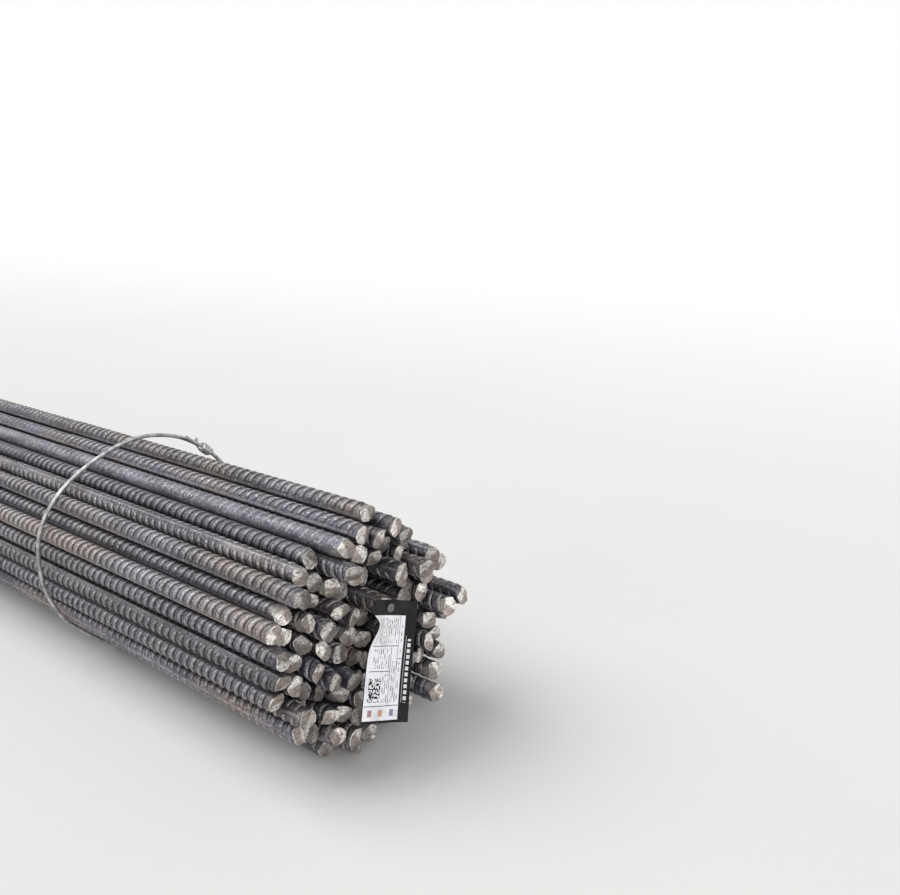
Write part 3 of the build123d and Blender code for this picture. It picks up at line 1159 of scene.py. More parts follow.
@dataclass
class BarRow:
    """The bars of one row of the frame, as one piece.

    Attributes:
        node: The frame's node that the row stands for.
        bars: Its bars.
        chance: The row's own source of variety.
        near_ribs: How far both rows of ribs go where a seam faces outward.
        far_ribs: The same from the far end.
        far_pairs: The same where ribs face outward.
        edge_steps: How far from an end the core has points, in millimetres.
        cap_shares: The rings across the cut, as shares of the bar's radius.
    """

    node: str
    bars: list[Bar]
    chance: random.Random
    section: BarSection = field(default_factory=BarSection)
    ribs: RibShape = field(default_factory=RibShape)
    shear: Shear = field(default_factory=Shear)
    fine_ribs: float = 0.50
    near_ribs: float = 2.00
    far_ribs: float = 0.80
    far_pairs: float = 0.15
    hidden_ribs: float = 0.08
    clear_of_cut: float = 5.0 * MM
    edge_steps: tuple = (0.5, 1.6, 3.6, 6.5, 10.0, 15.0, 21.0, 30.0)
    mid_shares: Pair = (0.35, 0.6)
    cap_shares: tuple = (1.0, 0.95, 0.95, 0.80, 0.62, 0.42, 0.2)
    cap_edge: float = 0.5 * MM
    gap_shade_reach: float = 5.8 * MM

    def build(
        self, every: list[Bar], kit: RibKit, steel: bpy.types.Material, cut: bpy.types.Material
    ) -> bpy.types.Object:
        """Builds the row as one piece.

        Args:
            every: All bars of the bundle.
            kit: The rib pairs and the tree that repeats them.
            steel: The finish of the bars' skin.
            cut: The finish of their sheared faces.

        Returns:
            The finished piece.
        """
        shell = Shell()
        for number, bar in enumerate(self.bars):
            self.add_core(shell, number, bar)
        self.add_ribs(shell, kit, steel)
        points = np.concatenate(shell.points)
        owner = shell.value("owner").astype(int)
        plain = np.array([bar.plain for bar in self.bars])[owner]
        middles = np.array([(bar.y, bar.z) for bar in self.bars])[owner]
        points[:, 1:] = self.filled(points[:, 1:], middles, plain)
        # How far each point was pressed, with the pale lip at the cut that is partly a painted
        # highlight
        pressed = np.zeros(len(points))
        for end in End:
            cuts = [self.shear.cut(self.chance) for _ in self.bars]
            points, strength = self.shear.shape(points, owner, self.bars, cuts, end)
            pressed = np.maximum(pressed, strength)
        mesh = shell.mesh(self.node + "_ribbed", points)
        looks = np.array([bar.look for bar in self.bars])[owner]
        mesh.attributes.new("bar_look", "FLOAT_COLOR", "POINT").data.foreach_set(
            "color", looks.ravel()
        )
        painted = {
            "wear": shell.value("wear"),
            "relief": shell.value("relief"),
            "pressed": pressed,
            # Painted shade that grows toward the neighbouring bars
            "dirt_and_gap_shade": self.dirt_and_gap_shade(points, owner, every),
            "plain": plain,
        }
        for name, values in painted.items():
            paint(mesh, name, values.astype(np.float32))
        mesh.materials.append(steel)
        mesh.materials.append(cut)
        return put_in_scene(self.node + "_ribbed", mesh)

    def filled(self, places: np.ndarray, middles: np.ndarray, plain: np.ndarray) -> np.ndarray:
        """Places across the bars, with the core raised toward the ribs' crests by plain."""
        core, crest = self.section.core, self.section.crest
        offset = places - middles
        radius = np.maximum(np.hypot(*offset.T), 1e-9)
        raised = crest - (crest - radius) * (1.0 - plain)
        inner = radius * (1.0 + (crest - core) * plain / core)
        return middles + offset * (np.where(radius > core * 0.999, raised, inner) / radius)[:, None]

    def dirt_and_gap_shade(self, points: np.ndarray, owner: np.ndarray, every: list[Bar]) -> np.ndarray:
        """How much painted shade each point gets, which grows toward the bars beside it."""
        gap = np.full(len(points), 1.0)
        for number, bar in enumerate(self.bars):
            mine = np.flatnonzero(owner == number)
            for other in every:
                if other is bar or bar.apart(other) > 1.6 * BAR_PITCH:
                    continue
                x, y, z = points[mine].T
                apart = np.hypot(y - other.y, z - other.z) - BAR_DIAMETER / 2
                beside = (x < other.near) & (x > other.far)
                gap[mine] = np.minimum(gap[mine], np.where(beside, apart, 1.0))
        return np.clip(1.0 - gap / self.gap_shade_reach, 0.0, 1.0)

    def ribbed_length(self, bar: Bar) -> Pair:
        """How far from its near and far end a bar has ribs on both sides."""
        return (self.near_ribs, self.far_ribs) if bar.outer else (self.hidden_ribs,) * 2

    def add_core(self, shell: Shell, number: int, bar: Bar) -> None:
        """Adds the core, seams and cut faces of one bar."""
        angles, radii, wear = self.section.ring()
        near_length, far_length = self.ribbed_length(bar)
        edge = [inward * MM for inward in self.edge_steps]
        middle = [near_length, near_length + MM]
        middle += [share * (bar.near - bar.far) for share in self.mid_shares]
        stations = [bar.near - inward for inward in edge + middle]
        stations += [bar.far + far_length + MM, bar.far + far_length]
        stations += [bar.far + inward for inward in reversed(edge)]
        bare = [0.0] * (len(edge) + 1)
        drawn = bare + [0.0 if bar.ribs_out else 1.0] * 4 + bare
        around = len(angles)
        turned = angles + bar.roll
        grid = np.empty((len(stations), around, 3))
        grid[:, :, 0] = np.array(stations)[:, None]
        grid[:, :, 1] = bar.y + radii * np.cos(turned)
        grid[:, :, 2] = bar.z + radii * np.sin(turned)
        first = np.arange(around)
        second = (first + 1) % around
        turns = angles / (2 * math.pi)
        next_turns = np.append(turns[1:], turns[0] + 1.0)
        corners, maps = [], []
        for place in range(len(stations) - 1):
            here, there = place * around, (place + 1) * around
            corners.append(
                np.stack([here + first, there + first, there + second, here + second], axis=1)
            )
            counts = [
                (bar.first_rib - stations[place + step]) / self.ribs.pitch for step in (0, 1)
            ]
            square = np.empty((around, 4, 2))
            square[:, ::3, 0], square[:, 1:3, 0] = counts[0], counts[1]
            square[:, :2, 1] = turns[:, None]
            square[:, 2:, 1] = next_turns[:, None]
            maps.append(square)
        corners = np.concatenate(corners)
        shell.add(
            grid.reshape(-1, 3),
            corners.ravel(),
            np.full(len(corners), 4),
            0,
            True,
            np.concatenate(maps).reshape(-1, 2),
            wear=np.tile(wear, len(stations)),
            relief=np.repeat(drawn, around),
            owner=number,
        )
        for end, at in ((End.NEAR, bar.near), (End.FAR, bar.far)):
            self.add_cut(shell, number, end, at, turned, radii)

    def add_cut(
        self, shell: Shell, number: int, end: End, at: float, turned: np.ndarray, radii: np.ndarray
    ) -> None:
        """Adds the sheared face across one end of a bar."""
        bar, around = self.bars[number], len(turned)
        rings = []
        for place, share in enumerate(self.cap_shares):
            rings.append(np.stack([
                np.full(around, at - end.value * (0.0 if place else self.cap_edge)),
                bar.y + radii * share * np.cos(turned),
                bar.z + radii * share * np.sin(turned),
            ], axis=1))
        points = np.concatenate(rings + [np.array([[at, bar.y, bar.z]])])
        first = np.arange(around)
        second = (first + 1) % around
        bands = []
        # The second and third ring share their places, so that the face meets its edge sharply
        for place in (0, *range(2, len(rings) - 1)):
            here, there = place * around, (place + 1) * around
            bands.append(
                np.stack([here + first, here + second, there + second, there + first], axis=1)
            )
        quads = np.concatenate(bands)[:, ::end.value]
        last = (len(rings) - 1) * around
        tips = np.stack([last + first, last + second, np.full(around, len(points) - 1)], axis=1)
        tips = tips[:, ::end.value]
        spread = (points[:, 1:] - (bar.y, bar.z)) @ (math.cos(bar.roll), math.sin(bar.roll))
        wear = np.clip(spread / self.section.core * 5.0 + 0.2, 0.0, 1.0)
        # The chamfer round the cut takes the burnished colour in full: partly a burnished burr,
        # partly a painted rim highlight
        wear[: 2 * around] = 1.0
        shell.add(
            points,
            np.concatenate([quads.ravel(), tips.ravel()]),
            np.repeat([4, 3], [len(quads), len(tips)]),
            1,
            np.arange(len(quads) + len(tips)) < around,
            wear=wear,
            owner=number,
        )

    def add_ribs(self, shell: Shell, kit: RibKit, steel: bpy.types.Material) -> None:
        """Adds the crescent ribs of every bar where they are modelled."""
        pitch = self.ribs.pitch
        runs: dict[tuple[int, RibKind], list[tuple[int, float]]] = {}
        for number, bar in enumerate(self.bars):
            near_length, far_length = self.ribbed_length(bar)
            last = math.floor((bar.first_rib - bar.far - self.clear_of_cut) / pitch)
            fine = round(min(self.fine_ribs, near_length) / pitch)
            near = round(near_length / pitch)
            far = last + 1 - round((self.far_pairs if bar.ribs_out else far_length) / pitch)
            spans = [
                (0, fine, RibKind.FINE),
                (fine, far, RibKind.OUTWARD) if bar.ribs_out else (fine, near, RibKind.PLAIN),
                (far, last + 1, RibKind.PLAIN),
            ]
            for from_rib, to_rib, kind in spans:
                if to_rib > from_rib:
                    start = bar.first_rib - from_rib * pitch
                    runs.setdefault((to_rib - from_rib, kind), []).append((number, start))
        for (count, kind), starts in runs.items():
            mesh = bpy.data.meshes.new("rib_starts")
            mesh.from_pydata([(x, self.bars[n].y, self.bars[n].z) for n, x in starts], [], [])
            paint(mesh, "roll", [self.bars[n].roll for n, _ in starts])
            paint(mesh, "owner", [float(n) for n, _ in starts])
            carrier = put_in_scene("rib_starts", mesh)
            made = kit.run(kind, count, carrier, steel)
            kept = made.attributes
            read = {name: values_of(kept[name].data, "value") for name in ("wear", "owner")}
            shell.add(
                values_of(made.vertices, "co", width=3).reshape(-1, 3),
                values_of(made.loops, "vertex_index", np.int32),
                values_of(made.polygons, "loop_total", np.int32),
                0,
                values_of(made.polygons, "use_smooth", bool),
                **read,
            )
            bpy.data.objects.remove(carrier)
            bpy.data.meshes.remove(made)


@dataclass(frozen=True)
class BarNote:
    """How one bar of the near flank looks, told by the pixel of its end in the photograph.

    seam_up says that its seam faces the eye, and look and plain are as Bar has them.
    """

    pixel: Pair
    look: tuple[float, float, float, float]
    seam_up: bool = False
    plain: float = 0.0


FLANK_NOTES = (
    BarNote((366, 513), (0.50, 0.42, 0.0, 0.8)),
    BarNote((329, 528), (0.50, 0.36, 0.0, 0.9)),
    BarNote((341, 555), (0.74, 0.04, 0.3, 0.6), plain=0.76),
    BarNote((299, 567), (0.56, 0.22, 0.0, 0.6)),
    BarNote((325, 594), (0.54, 0.03, 0.8, 0.9), seam_up=True),
    BarNote((284, 609), (0.50, 0.10, 0.2, 0.8)),
    BarNote((279, 632), (0.66, 0.62, 0.0, 0.9)),
    BarNote((274, 650), (0.38, 0.10, 0.3, 0.4)),
    BarNote((272, 668), (0.42, 0.05, 0.6, 0.7)),
    BarNote((268, 690), (0.36, 0.12, 0.4, 0.8)),
)


@dataclass
class Bundle:
    """All the bars of the frame, read from its row nodes.

    A bar shows from outside where the gap between its neighbours is wider than open_side, and
    ribs_outward is the share of such bars whose ribs face outward.
    """

    seed: int = 29
    weld: float = 1.0e-5
    neighbour_reach: float = 1.7 * BAR_PITCH
    open_side: float = math.radians(98.0)
    ribs_outward: float = 0.85
    roll_spread: float = 0.35
    seam_up_roll: float = math.radians(118.0)
    flank_reach: float = 18.0
    end_play: float = 0.8 * MM
    first_rib: Pair = (6.0, 16.0)

    def read(self, nodes: dict[str, bpy.types.Object]) -> dict[str, list[Bar]]:
        """Finds each bar's place.

        Args:
            nodes: The frame's nodes.

        Returns:
            The bars of each row node, by its name.
        """
        chance = random.Random(self.seed)
        rows = {}
        for name in sorted(node for node in nodes if node.startswith("bars_row")):
            rows[name] = self.bars_of(nodes[name], chance)
        every = [bar for row in rows.values() for bar in row]
        middle_y = sum(bar.y for bar in every) / len(every)
        middle_z = sum(bar.z for bar in every) / len(every)
        for bar in every:
            bar.outer = self.widest_gap(bar, every) > self.open_side
            if bar.outer and chance.random() < self.ribs_outward:
                outward = math.atan2(bar.z - middle_z, bar.y - middle_y)
                bar.roll = outward + math.pi / 2 + chance.gauss(0.0, self.roll_spread)
                bar.ribs_out = True
        self.apply_notes([bar for bar in every if bar.outer])
        return rows

    def apply_notes(self, outer: list[Bar]) -> None:
        """Gives the bars of the near flank the looks noted for them."""
        eye = Eye()
        for note in FLANK_NOTES:
            apart = [math.dist(eye.pixel((bar.near, bar.y, bar.z)), note.pixel) for bar in outer]
            nearest = apart.index(min(apart))
            if apart[nearest] < self.flank_reach:
                found = outer.pop(nearest)
                found.look, found.plain = note.look, note.plain
                if note.seam_up:
                    found.roll, found.ribs_out = self.seam_up_roll, False

    def bars_of(self, node: bpy.types.Object, chance: random.Random) -> list[Bar]:
        """The bars of one row node, found as the loose parts of its mesh."""
        points = values_of(node.data.vertices, "co", width=3).reshape(-1, 3)
        merged, number = np.unique(np.round(points / self.weld), axis=0, return_inverse=True)
        number = number.ravel()
        leader = list(range(len(merged)))

        def lead(item: int) -> int:
            """The leader of the part that item belongs to."""
            while leader[item] != item:
                leader[item] = leader[leader[item]]
                item = leader[item]
            return item

        for face in node.data.polygons:
            corners = [lead(int(number[corner])) for corner in face.vertices]
            for corner in corners[1:]:
                leader[corner] = corners[0]
                leader[corners[0]] = lead(corners[0])
        parts: dict[int, list[int]] = {}
        for item in range(len(merged)):
            parts.setdefault(lead(item), []).append(item)
        bars = []
        for part in parts.values():
            low = merged[part].min(axis=0) * self.weld
            high = merged[part].max(axis=0) * self.weld
            bars.append(self.bar_between(low, high, chance))
        return sorted(bars, key=lambda bar: (bar.z, bar.y))

    def bar_between(self, low: np.ndarray, high: np.ndarray, chance: random.Random) -> Bar:
        """A bar that fills the box from low to high, with its own rolling and weathering."""
        near, far = high[0] - self.end_play, low[0] + self.end_play
        return Bar(
            y=(low[1] + high[1]) / 2,
            z=(low[2] + high[2]) / 2,
            near=near,
            far=far,
            roll=chance.uniform(0.0, math.pi),
            first_rib=near - chance.uniform(*self.first_rib) * MM,
            look=(
                min(1.0, max(0.0, chance.gauss(0.5, 0.16))),
                min(1.0, abs(chance.gauss(0.18, 0.22))),
                max(0.0, chance.uniform(-0.5, 1.0)),
                chance.random(),
            ),
        )

    def widest_gap(self, bar: Bar, every: list[Bar]) -> float:
        """The widest angle round a bar without a neighbour in it."""
        angles = sorted(
            math.atan2(other.z - bar.z, other.y - bar.y)
            for other in every
            if other is not bar and bar.apart(other) < self.neighbour_reach
        )
        following = angles[1:] + angles[:1]
        return max((after - before) % (2 * math.pi) for before, after in zip(angles, following))


# ---- Wire ties


def turn(first: Pair, second: Pair, third: Pair) -> float:
    """Positive where the way from first over second to third turns left."""
    across, up = second[0] - first[0], second[1] - first[1]
    return across * (third[1] - first[1]) - up * (third[0] - first[0])


def outline_of(points: list[Pair]) -> list[Pair]:
    """The convex outline of points, counter-clockwise."""
    ordered = sorted(points)
    chains = []
    for run in (ordered, ordered[::-1]):
        chain = []
        for point in run:
            while len(chain) > 1 and turn(chain[-2], chain[-1], point) <= 0:
                chain.pop()
            chain.append(point)
        chains += chain[:-1]
    return chains


def outward_angle(start: Pair, end: Pair) -> float:
    """The way that one side of a counter-clockwise outline faces."""
    return math.atan2(start[0] - end[0], end[1] - start[1])


def bell(offset: Any, spread: float) -> Any:
    """1 in the middle of a bell curve, and nearly 0 at three times spread."""
    return np.exp(-((offset / spread) ** 2) / 2)


def nearest_turn(angle: np.ndarray) -> np.ndarray:
    """Angles brought between half a turn back and half a turn on."""
    return (angle + math.pi) % (2 * math.pi) - math.pi


@dataclass
class WireTie:
    """One wire round the bundle, with its ends laid side by side and gripped by a coil.

    Attributes:
        node: The frame's node that it stands for.
        x: Where its plane crosses the middle of the bundle.
        skew: How far its plane stands off square to the bars.
        stiffness: The angle over which stiff wire evens out its bends.
        merge_length: The run over which the second strand leaves the ring's plane.
    """

    node: str
    x: float
    skew: float
    wire_radius: float = 2.1 * MM
    seat: float = 0.3 * MM
    bend_radius: float = 30.0 * MM
    knot_angle: float = math.radians(44.0)
    knot_span: float = 52.0 * MM
    knot_rise: float = 14.0 * MM
    strand_spacing: float = 7.6 * MM
    strand_length: float = 62.0 * MM
    coil_cover: float = 0.9 * MM
    coil_length: float = 15.0 * MM
    coil_turns: float = 3.2
    coil_from: float = 0.8
    coil_wire: float = 0.86
    coil_wide: float = 1.8
    coil_high: float = 1.86
    coil_points: int = 90
    tail_length: float = 20.0 * MM
    tail_angle: float = math.radians(52.0)
    tail_stiffness: float = 0.68
    tail_points: int = 10
    ring_step: float = 2.0
    stiffness: float = math.radians(9.0)
    evenness: float = math.radians(3.0)
    stand_off: float = 1.2 * MM
    slack: float = 4.0 * MM
    slack_at: float = math.radians(116.0)
    slack_spread: float = math.radians(24.0)
    lap_past_coil: float = 15.0 * MM
    squeeze: float = 1.35 * MM
    squeeze_reach: float = 13.0 * MM
    merge_length: float = 46.0 * MM
    start_lift: float = 2.2 * MM
    end_lift: float = 1.6 * MM
    line_points: tuple[int, int, int] = (44, 190, 30)
    sides: int = 14

    def from_knot(self, along_it: Any, outward: Any) -> tuple[Any, Any]:
        """A place in the tie's plane, counted from the middle of the knot's straight run."""
        facing = math.pi / 2 - self.knot_angle
        return (
            outward * math.cos(facing) - along_it * math.sin(facing),
            outward * math.sin(facing) + along_it * math.cos(facing),
        )

    def reach(self, points: list[Pair]) -> float:
        """How far points reach in the way that the knot faces."""
        facing = math.pi / 2 - self.knot_angle
        return max(point[0] * math.cos(facing) + point[1] * math.sin(facing) for point in points)

    def bends(self, bars: list[Bar]) -> list[Pair]:
        """Centres of the wire's bends round the bars."""
        stretch = 1.0 / math.cos(self.skew)
        bar_seat = BAR_DIAMETER / 2 * stretch + self.seat
        seat_radius = bar_seat + self.wire_radius
        coil_radius = self.strand_spacing / 2 + self.wire_radius + self.coil_cover
        points = [
            ((bar.y - HEAP_ORIGIN[0]) * stretch, bar.z - HEAP_ORIGIN[1]) for bar in bars
        ]
        height = self.reach(points) + bar_seat + coil_radius + self.knot_rise - seat_radius
        points += [self.from_knot(side * self.knot_span / 2, height) for side in (-1, 1)]
        outline = outline_of(points)
        drawn_in = []
        for before, corner, after in zip(
            outline[-1:] + outline[:-1], outline, outline[1:] + outline[:1]
        ):
            entry = outward_angle(before, corner)
            middle = entry + (outward_angle(corner, after) - entry) % (2 * math.pi) / 2
            depth = self.bend_radius - seat_radius
            drawn_in.append(
                (corner[0] - depth * math.cos(middle), corner[1] - depth * math.sin(middle))
            )
        return outline_of(drawn_in)

    def ring(self, bends: list[Pair]) -> np.ndarray:
        """The middle line of the closed ring in the tie's plane, rounded as stiff wire stands.

        Args:
            bends: Centres of the wire's bends round the bars.

        Returns:
            Points across and up, counter-clockwise, starting on the side that +Y faces.
        """
        angles = np.radians(np.arange(0.0, 360.0, self.ring_step))
        facing = headings(angles)
        tight = (facing @ np.array(bends).T).max(axis=1) + self.bend_radius
        apart = nearest_turn(angles[:, None] - angles[None, :])
        weights = bell(apart, self.stiffness)
        eased = weights @ tight / weights.sum(axis=1)
        slack = bell(nearest_turn(angles - self.slack_at), self.slack_spread / math.sqrt(2.0))
        eased += self.stand_off + self.slack * slack
        upper = ease(np.clip((np.sin(angles) + 0.55) / 0.7, 0.0, 1.0))
        reach = tight + (np.maximum(eased, tight) - tight) * upper
        narrow = bell(apart, self.evenness)
        reach = np.maximum(narrow @ reach / narrow.sum(axis=1), tight)
        slope = (np.roll(reach, -1) - np.roll(reach, 1)) / (2 * math.radians(self.ring_step))
        aside = np.stack([-facing[:, 1], facing[:, 0]], axis=1)
        line = reach[:, None] * facing + slope[:, None] * aside
        line[:, 1] = np.maximum(line[:, 1], self.wire_radius - HEAP_ORIGIN[1])
        return np.array(outline_of([tuple(point) for point in line]))

    def place(self, local: np.ndarray) -> np.ndarray:
        """Points of the tie's plane, across, up and out of it, put in the frame."""
        cos, sin = math.cos(self.skew), math.sin(self.skew)
        across, up, out = local.T
        return np.stack([
            self.x + across * sin + out * cos,
            HEAP_ORIGIN[0] + across * cos - out * sin,
            HEAP_ORIGIN[1] + up,
        ], axis=1)

    def build(self, bars: list[Bar], steel: bpy.types.Material) -> bpy.types.Object:
        """Builds the ring, the strand beside it, the coil and its tail as one piece.

        Args:
            bars: Every bar of the bundle.
            steel: The wire's finish.

        Returns:
            The finished piece.
        """
        ring = self.ring(self.bends(bars))
        height = self.reach([tuple(point) for point in ring])
        piece = join_tubes(self.node + "_round", [
            Tube(self.place(self.lapped(ring)), self.wire_radius, self.sides),
            Tube(self.place(self.coil_line(height)), self.wire_radius * self.coil_wire, self.sides),
        ])
        piece.data.materials.append(steel)
        return piece

    def lapped(self, ring: np.ndarray) -> np.ndarray:
        """The ring's line as one wire, whose two ends lie side by side through the knot.

        Args:
            ring: The closed line, counter-clockwise.

        Returns:
            Points across, up and out of the tie's plane, from one cut end to the other.
        """
        heading, outward = np.array(self.from_knot(1.0, 0.0)), np.array(self.from_knot(0.0, 1.0))
        around = np.concatenate([ring, ring[:1]])
        step = np.linalg.norm(np.diff(around, axis=0), axis=1)
        marks = np.concatenate([[0.0], np.cumsum(step)])
        length = step.sum()

        def at(spots: np.ndarray) -> np.ndarray:
            """The ring's places at lengths along it."""
            return np.stack([np.interp(spots, marks, around[:, axis]) for axis in (0, 1)], axis=1)

        fine = np.linspace(0.0, length, 2000, endpoint=False)
        places = at(fine)
        beside = np.abs(places @ heading) + np.where(places @ outward > 0.0, 0.0, 1.0)
        knot = fine[int(beside.argmin())]
        start, end = self.strand_length / 2, self.lap_past_coil
        merged_by = -start - self.merge_length
        through, round_bars, past = self.line_points
        run = np.concatenate([
            np.linspace(start, merged_by, through),
            np.linspace(merged_by, -length + start, round_bars)[1:],
            np.linspace(-length + start, -length - end, past)[1:],
        ])
        merged = np.clip((-start - run) / self.merge_length, 0.0, 1.0)
        lane = self.strand_spacing * (1.0 - ease(merged))
        lane -= self.squeeze * np.exp(-((run / self.squeeze_reach) ** 2))
        lane += self.squeeze * np.exp(-(((run + length) / self.squeeze_reach) ** 2))
        lifted = self.start_lift * np.clip((run - 0.55 * start) / (0.45 * start), 0.0, 1.0) ** 2
        past_coil = (-length - 0.4 * end - run) / (0.6 * end)
        lifted += self.end_lift * np.clip(past_coil, 0.0, 1.0) ** 2
        return np.column_stack([at((knot + run) % length) + lifted[:, None] * outward, lane])

    def coil_line(self, height: float) -> np.ndarray:
        """The wire that winds round both strands and stands off as the tail."""
        turns = np.linspace(0.0, self.coil_turns, self.coil_points)
        angle = turns * 2 * math.pi + self.coil_from
        half_wide = self.strand_spacing / 2 - self.squeeze + self.coil_wide * self.wire_radius
        half_high = self.coil_high * self.wire_radius
        run = (self.coil_length - 2 * self.wire_radius) * (turns / self.coil_turns - 0.5)
        out = self.strand_spacing / 2 + half_wide * np.sin(angle)
        places = self.from_knot(run, height + half_high * np.cos(angle))
        coil = np.stack([*places, out], axis=1)
        away = self.from_knot(math.cos(self.tail_angle), math.sin(self.tail_angle))
        away = np.array([*away, 0.1])
        heading = coil[-1] - coil[-2]
        heading = heading / np.linalg.norm(heading)
        tail, here = [], coil[-1]
        for _ in range(self.tail_points):
            heading = heading * self.tail_stiffness + away * (1.0 - self.tail_stiffness)
            heading = heading / np.linalg.norm(heading)
            here = here + heading * self.tail_length / (self.tail_points + 2)
            tail.append(here)
        return np.concatenate([coil, np.array(tail)])


@dataclass
class Tube:
    """A round wire along a line, with domed ends."""

    line: np.ndarray
    radius: float
    sides: int
    dome_rise: float = 0.35
    dome_width: float = 0.72

    def rings(self) -> tuple[np.ndarray, list[tuple[int, ...]]]:
        """The tube's points and faces."""
        steps = np.linalg.norm(np.diff(self.line, axis=0), axis=1)
        line = self.line[np.append(steps > 1e-6, True)]
        padded = np.concatenate([line[:1], line, line[-1:]])
        heading = padded[2:] - padded[:-2]
        heading /= np.linalg.norm(heading, axis=1)[:, None]
        side = np.cross(heading[0], (0.31, 0.52, 0.79))
        rows = []
        for middle, way in zip(line, heading):
            side = side - way * (side @ way)
            side /= np.linalg.norm(side)
            rows.append((middle, side.copy(), np.cross(way, side), 1.0))
        dome = self.dome_rise * self.radius
        rows.insert(0, (line[0] - heading[0] * dome, *rows[0][1:3], self.dome_width))
        rows.append((line[-1] + heading[-1] * dome, *rows[-1][1:3], self.dome_width))
        turns = np.arange(self.sides) * 2 * math.pi / self.sides
        cos, sin = np.cos(turns)[:, None], np.sin(turns)[:, None]
        points = np.concatenate([
            middle + self.radius * wide * (cos * side + sin * up)
            for middle, side, up, wide in rows
        ])
        faces = []
        for here in range(0, (len(rows) - 1) * self.sides, self.sides):
            for place in range(self.sides):
                after, there = (place + 1) % self.sides, here + self.sides
                faces.append((here + place, here + after, there + after, there + place))
        faces.append(tuple(reversed(range(self.sides))))
        faces.append(tuple(len(points) - self.sides + place for place in range(self.sides)))
        return points, faces


def join_tubes(name: str, tubes: list[Tube]) -> bpy.types.Object:
    """One smooth piece from several tubes.

    Args:
        name: The piece's name.
        tubes: The tubes.

    Returns:
        The piece.
    """
    points, faces, count = [], [], 0
    for tube in tubes:
        tube_points, tube_faces = tube.rings()
        points.append(tube_points)
        faces += [tuple(corner + count for corner in face) for face in tube_faces]
        count += len(tube_points)
    mesh = bpy.data.meshes.new(name)
    mesh.from_pydata(np.concatenate(points).tolist(), [], faces)
    mesh.polygons.foreach_set("use_smooth", [len(face) == 4 for face in faces])
    mesh.update()
    return put_in_scene(name, mesh)


# ---- Tag and nail


def middle_of(low: Vector, high: Vector) -> Pair:
    """The middle of a box of the frame, across and up."""
    return (low[1] + high[1]) / 2, (low[2] + high[2]) / 2


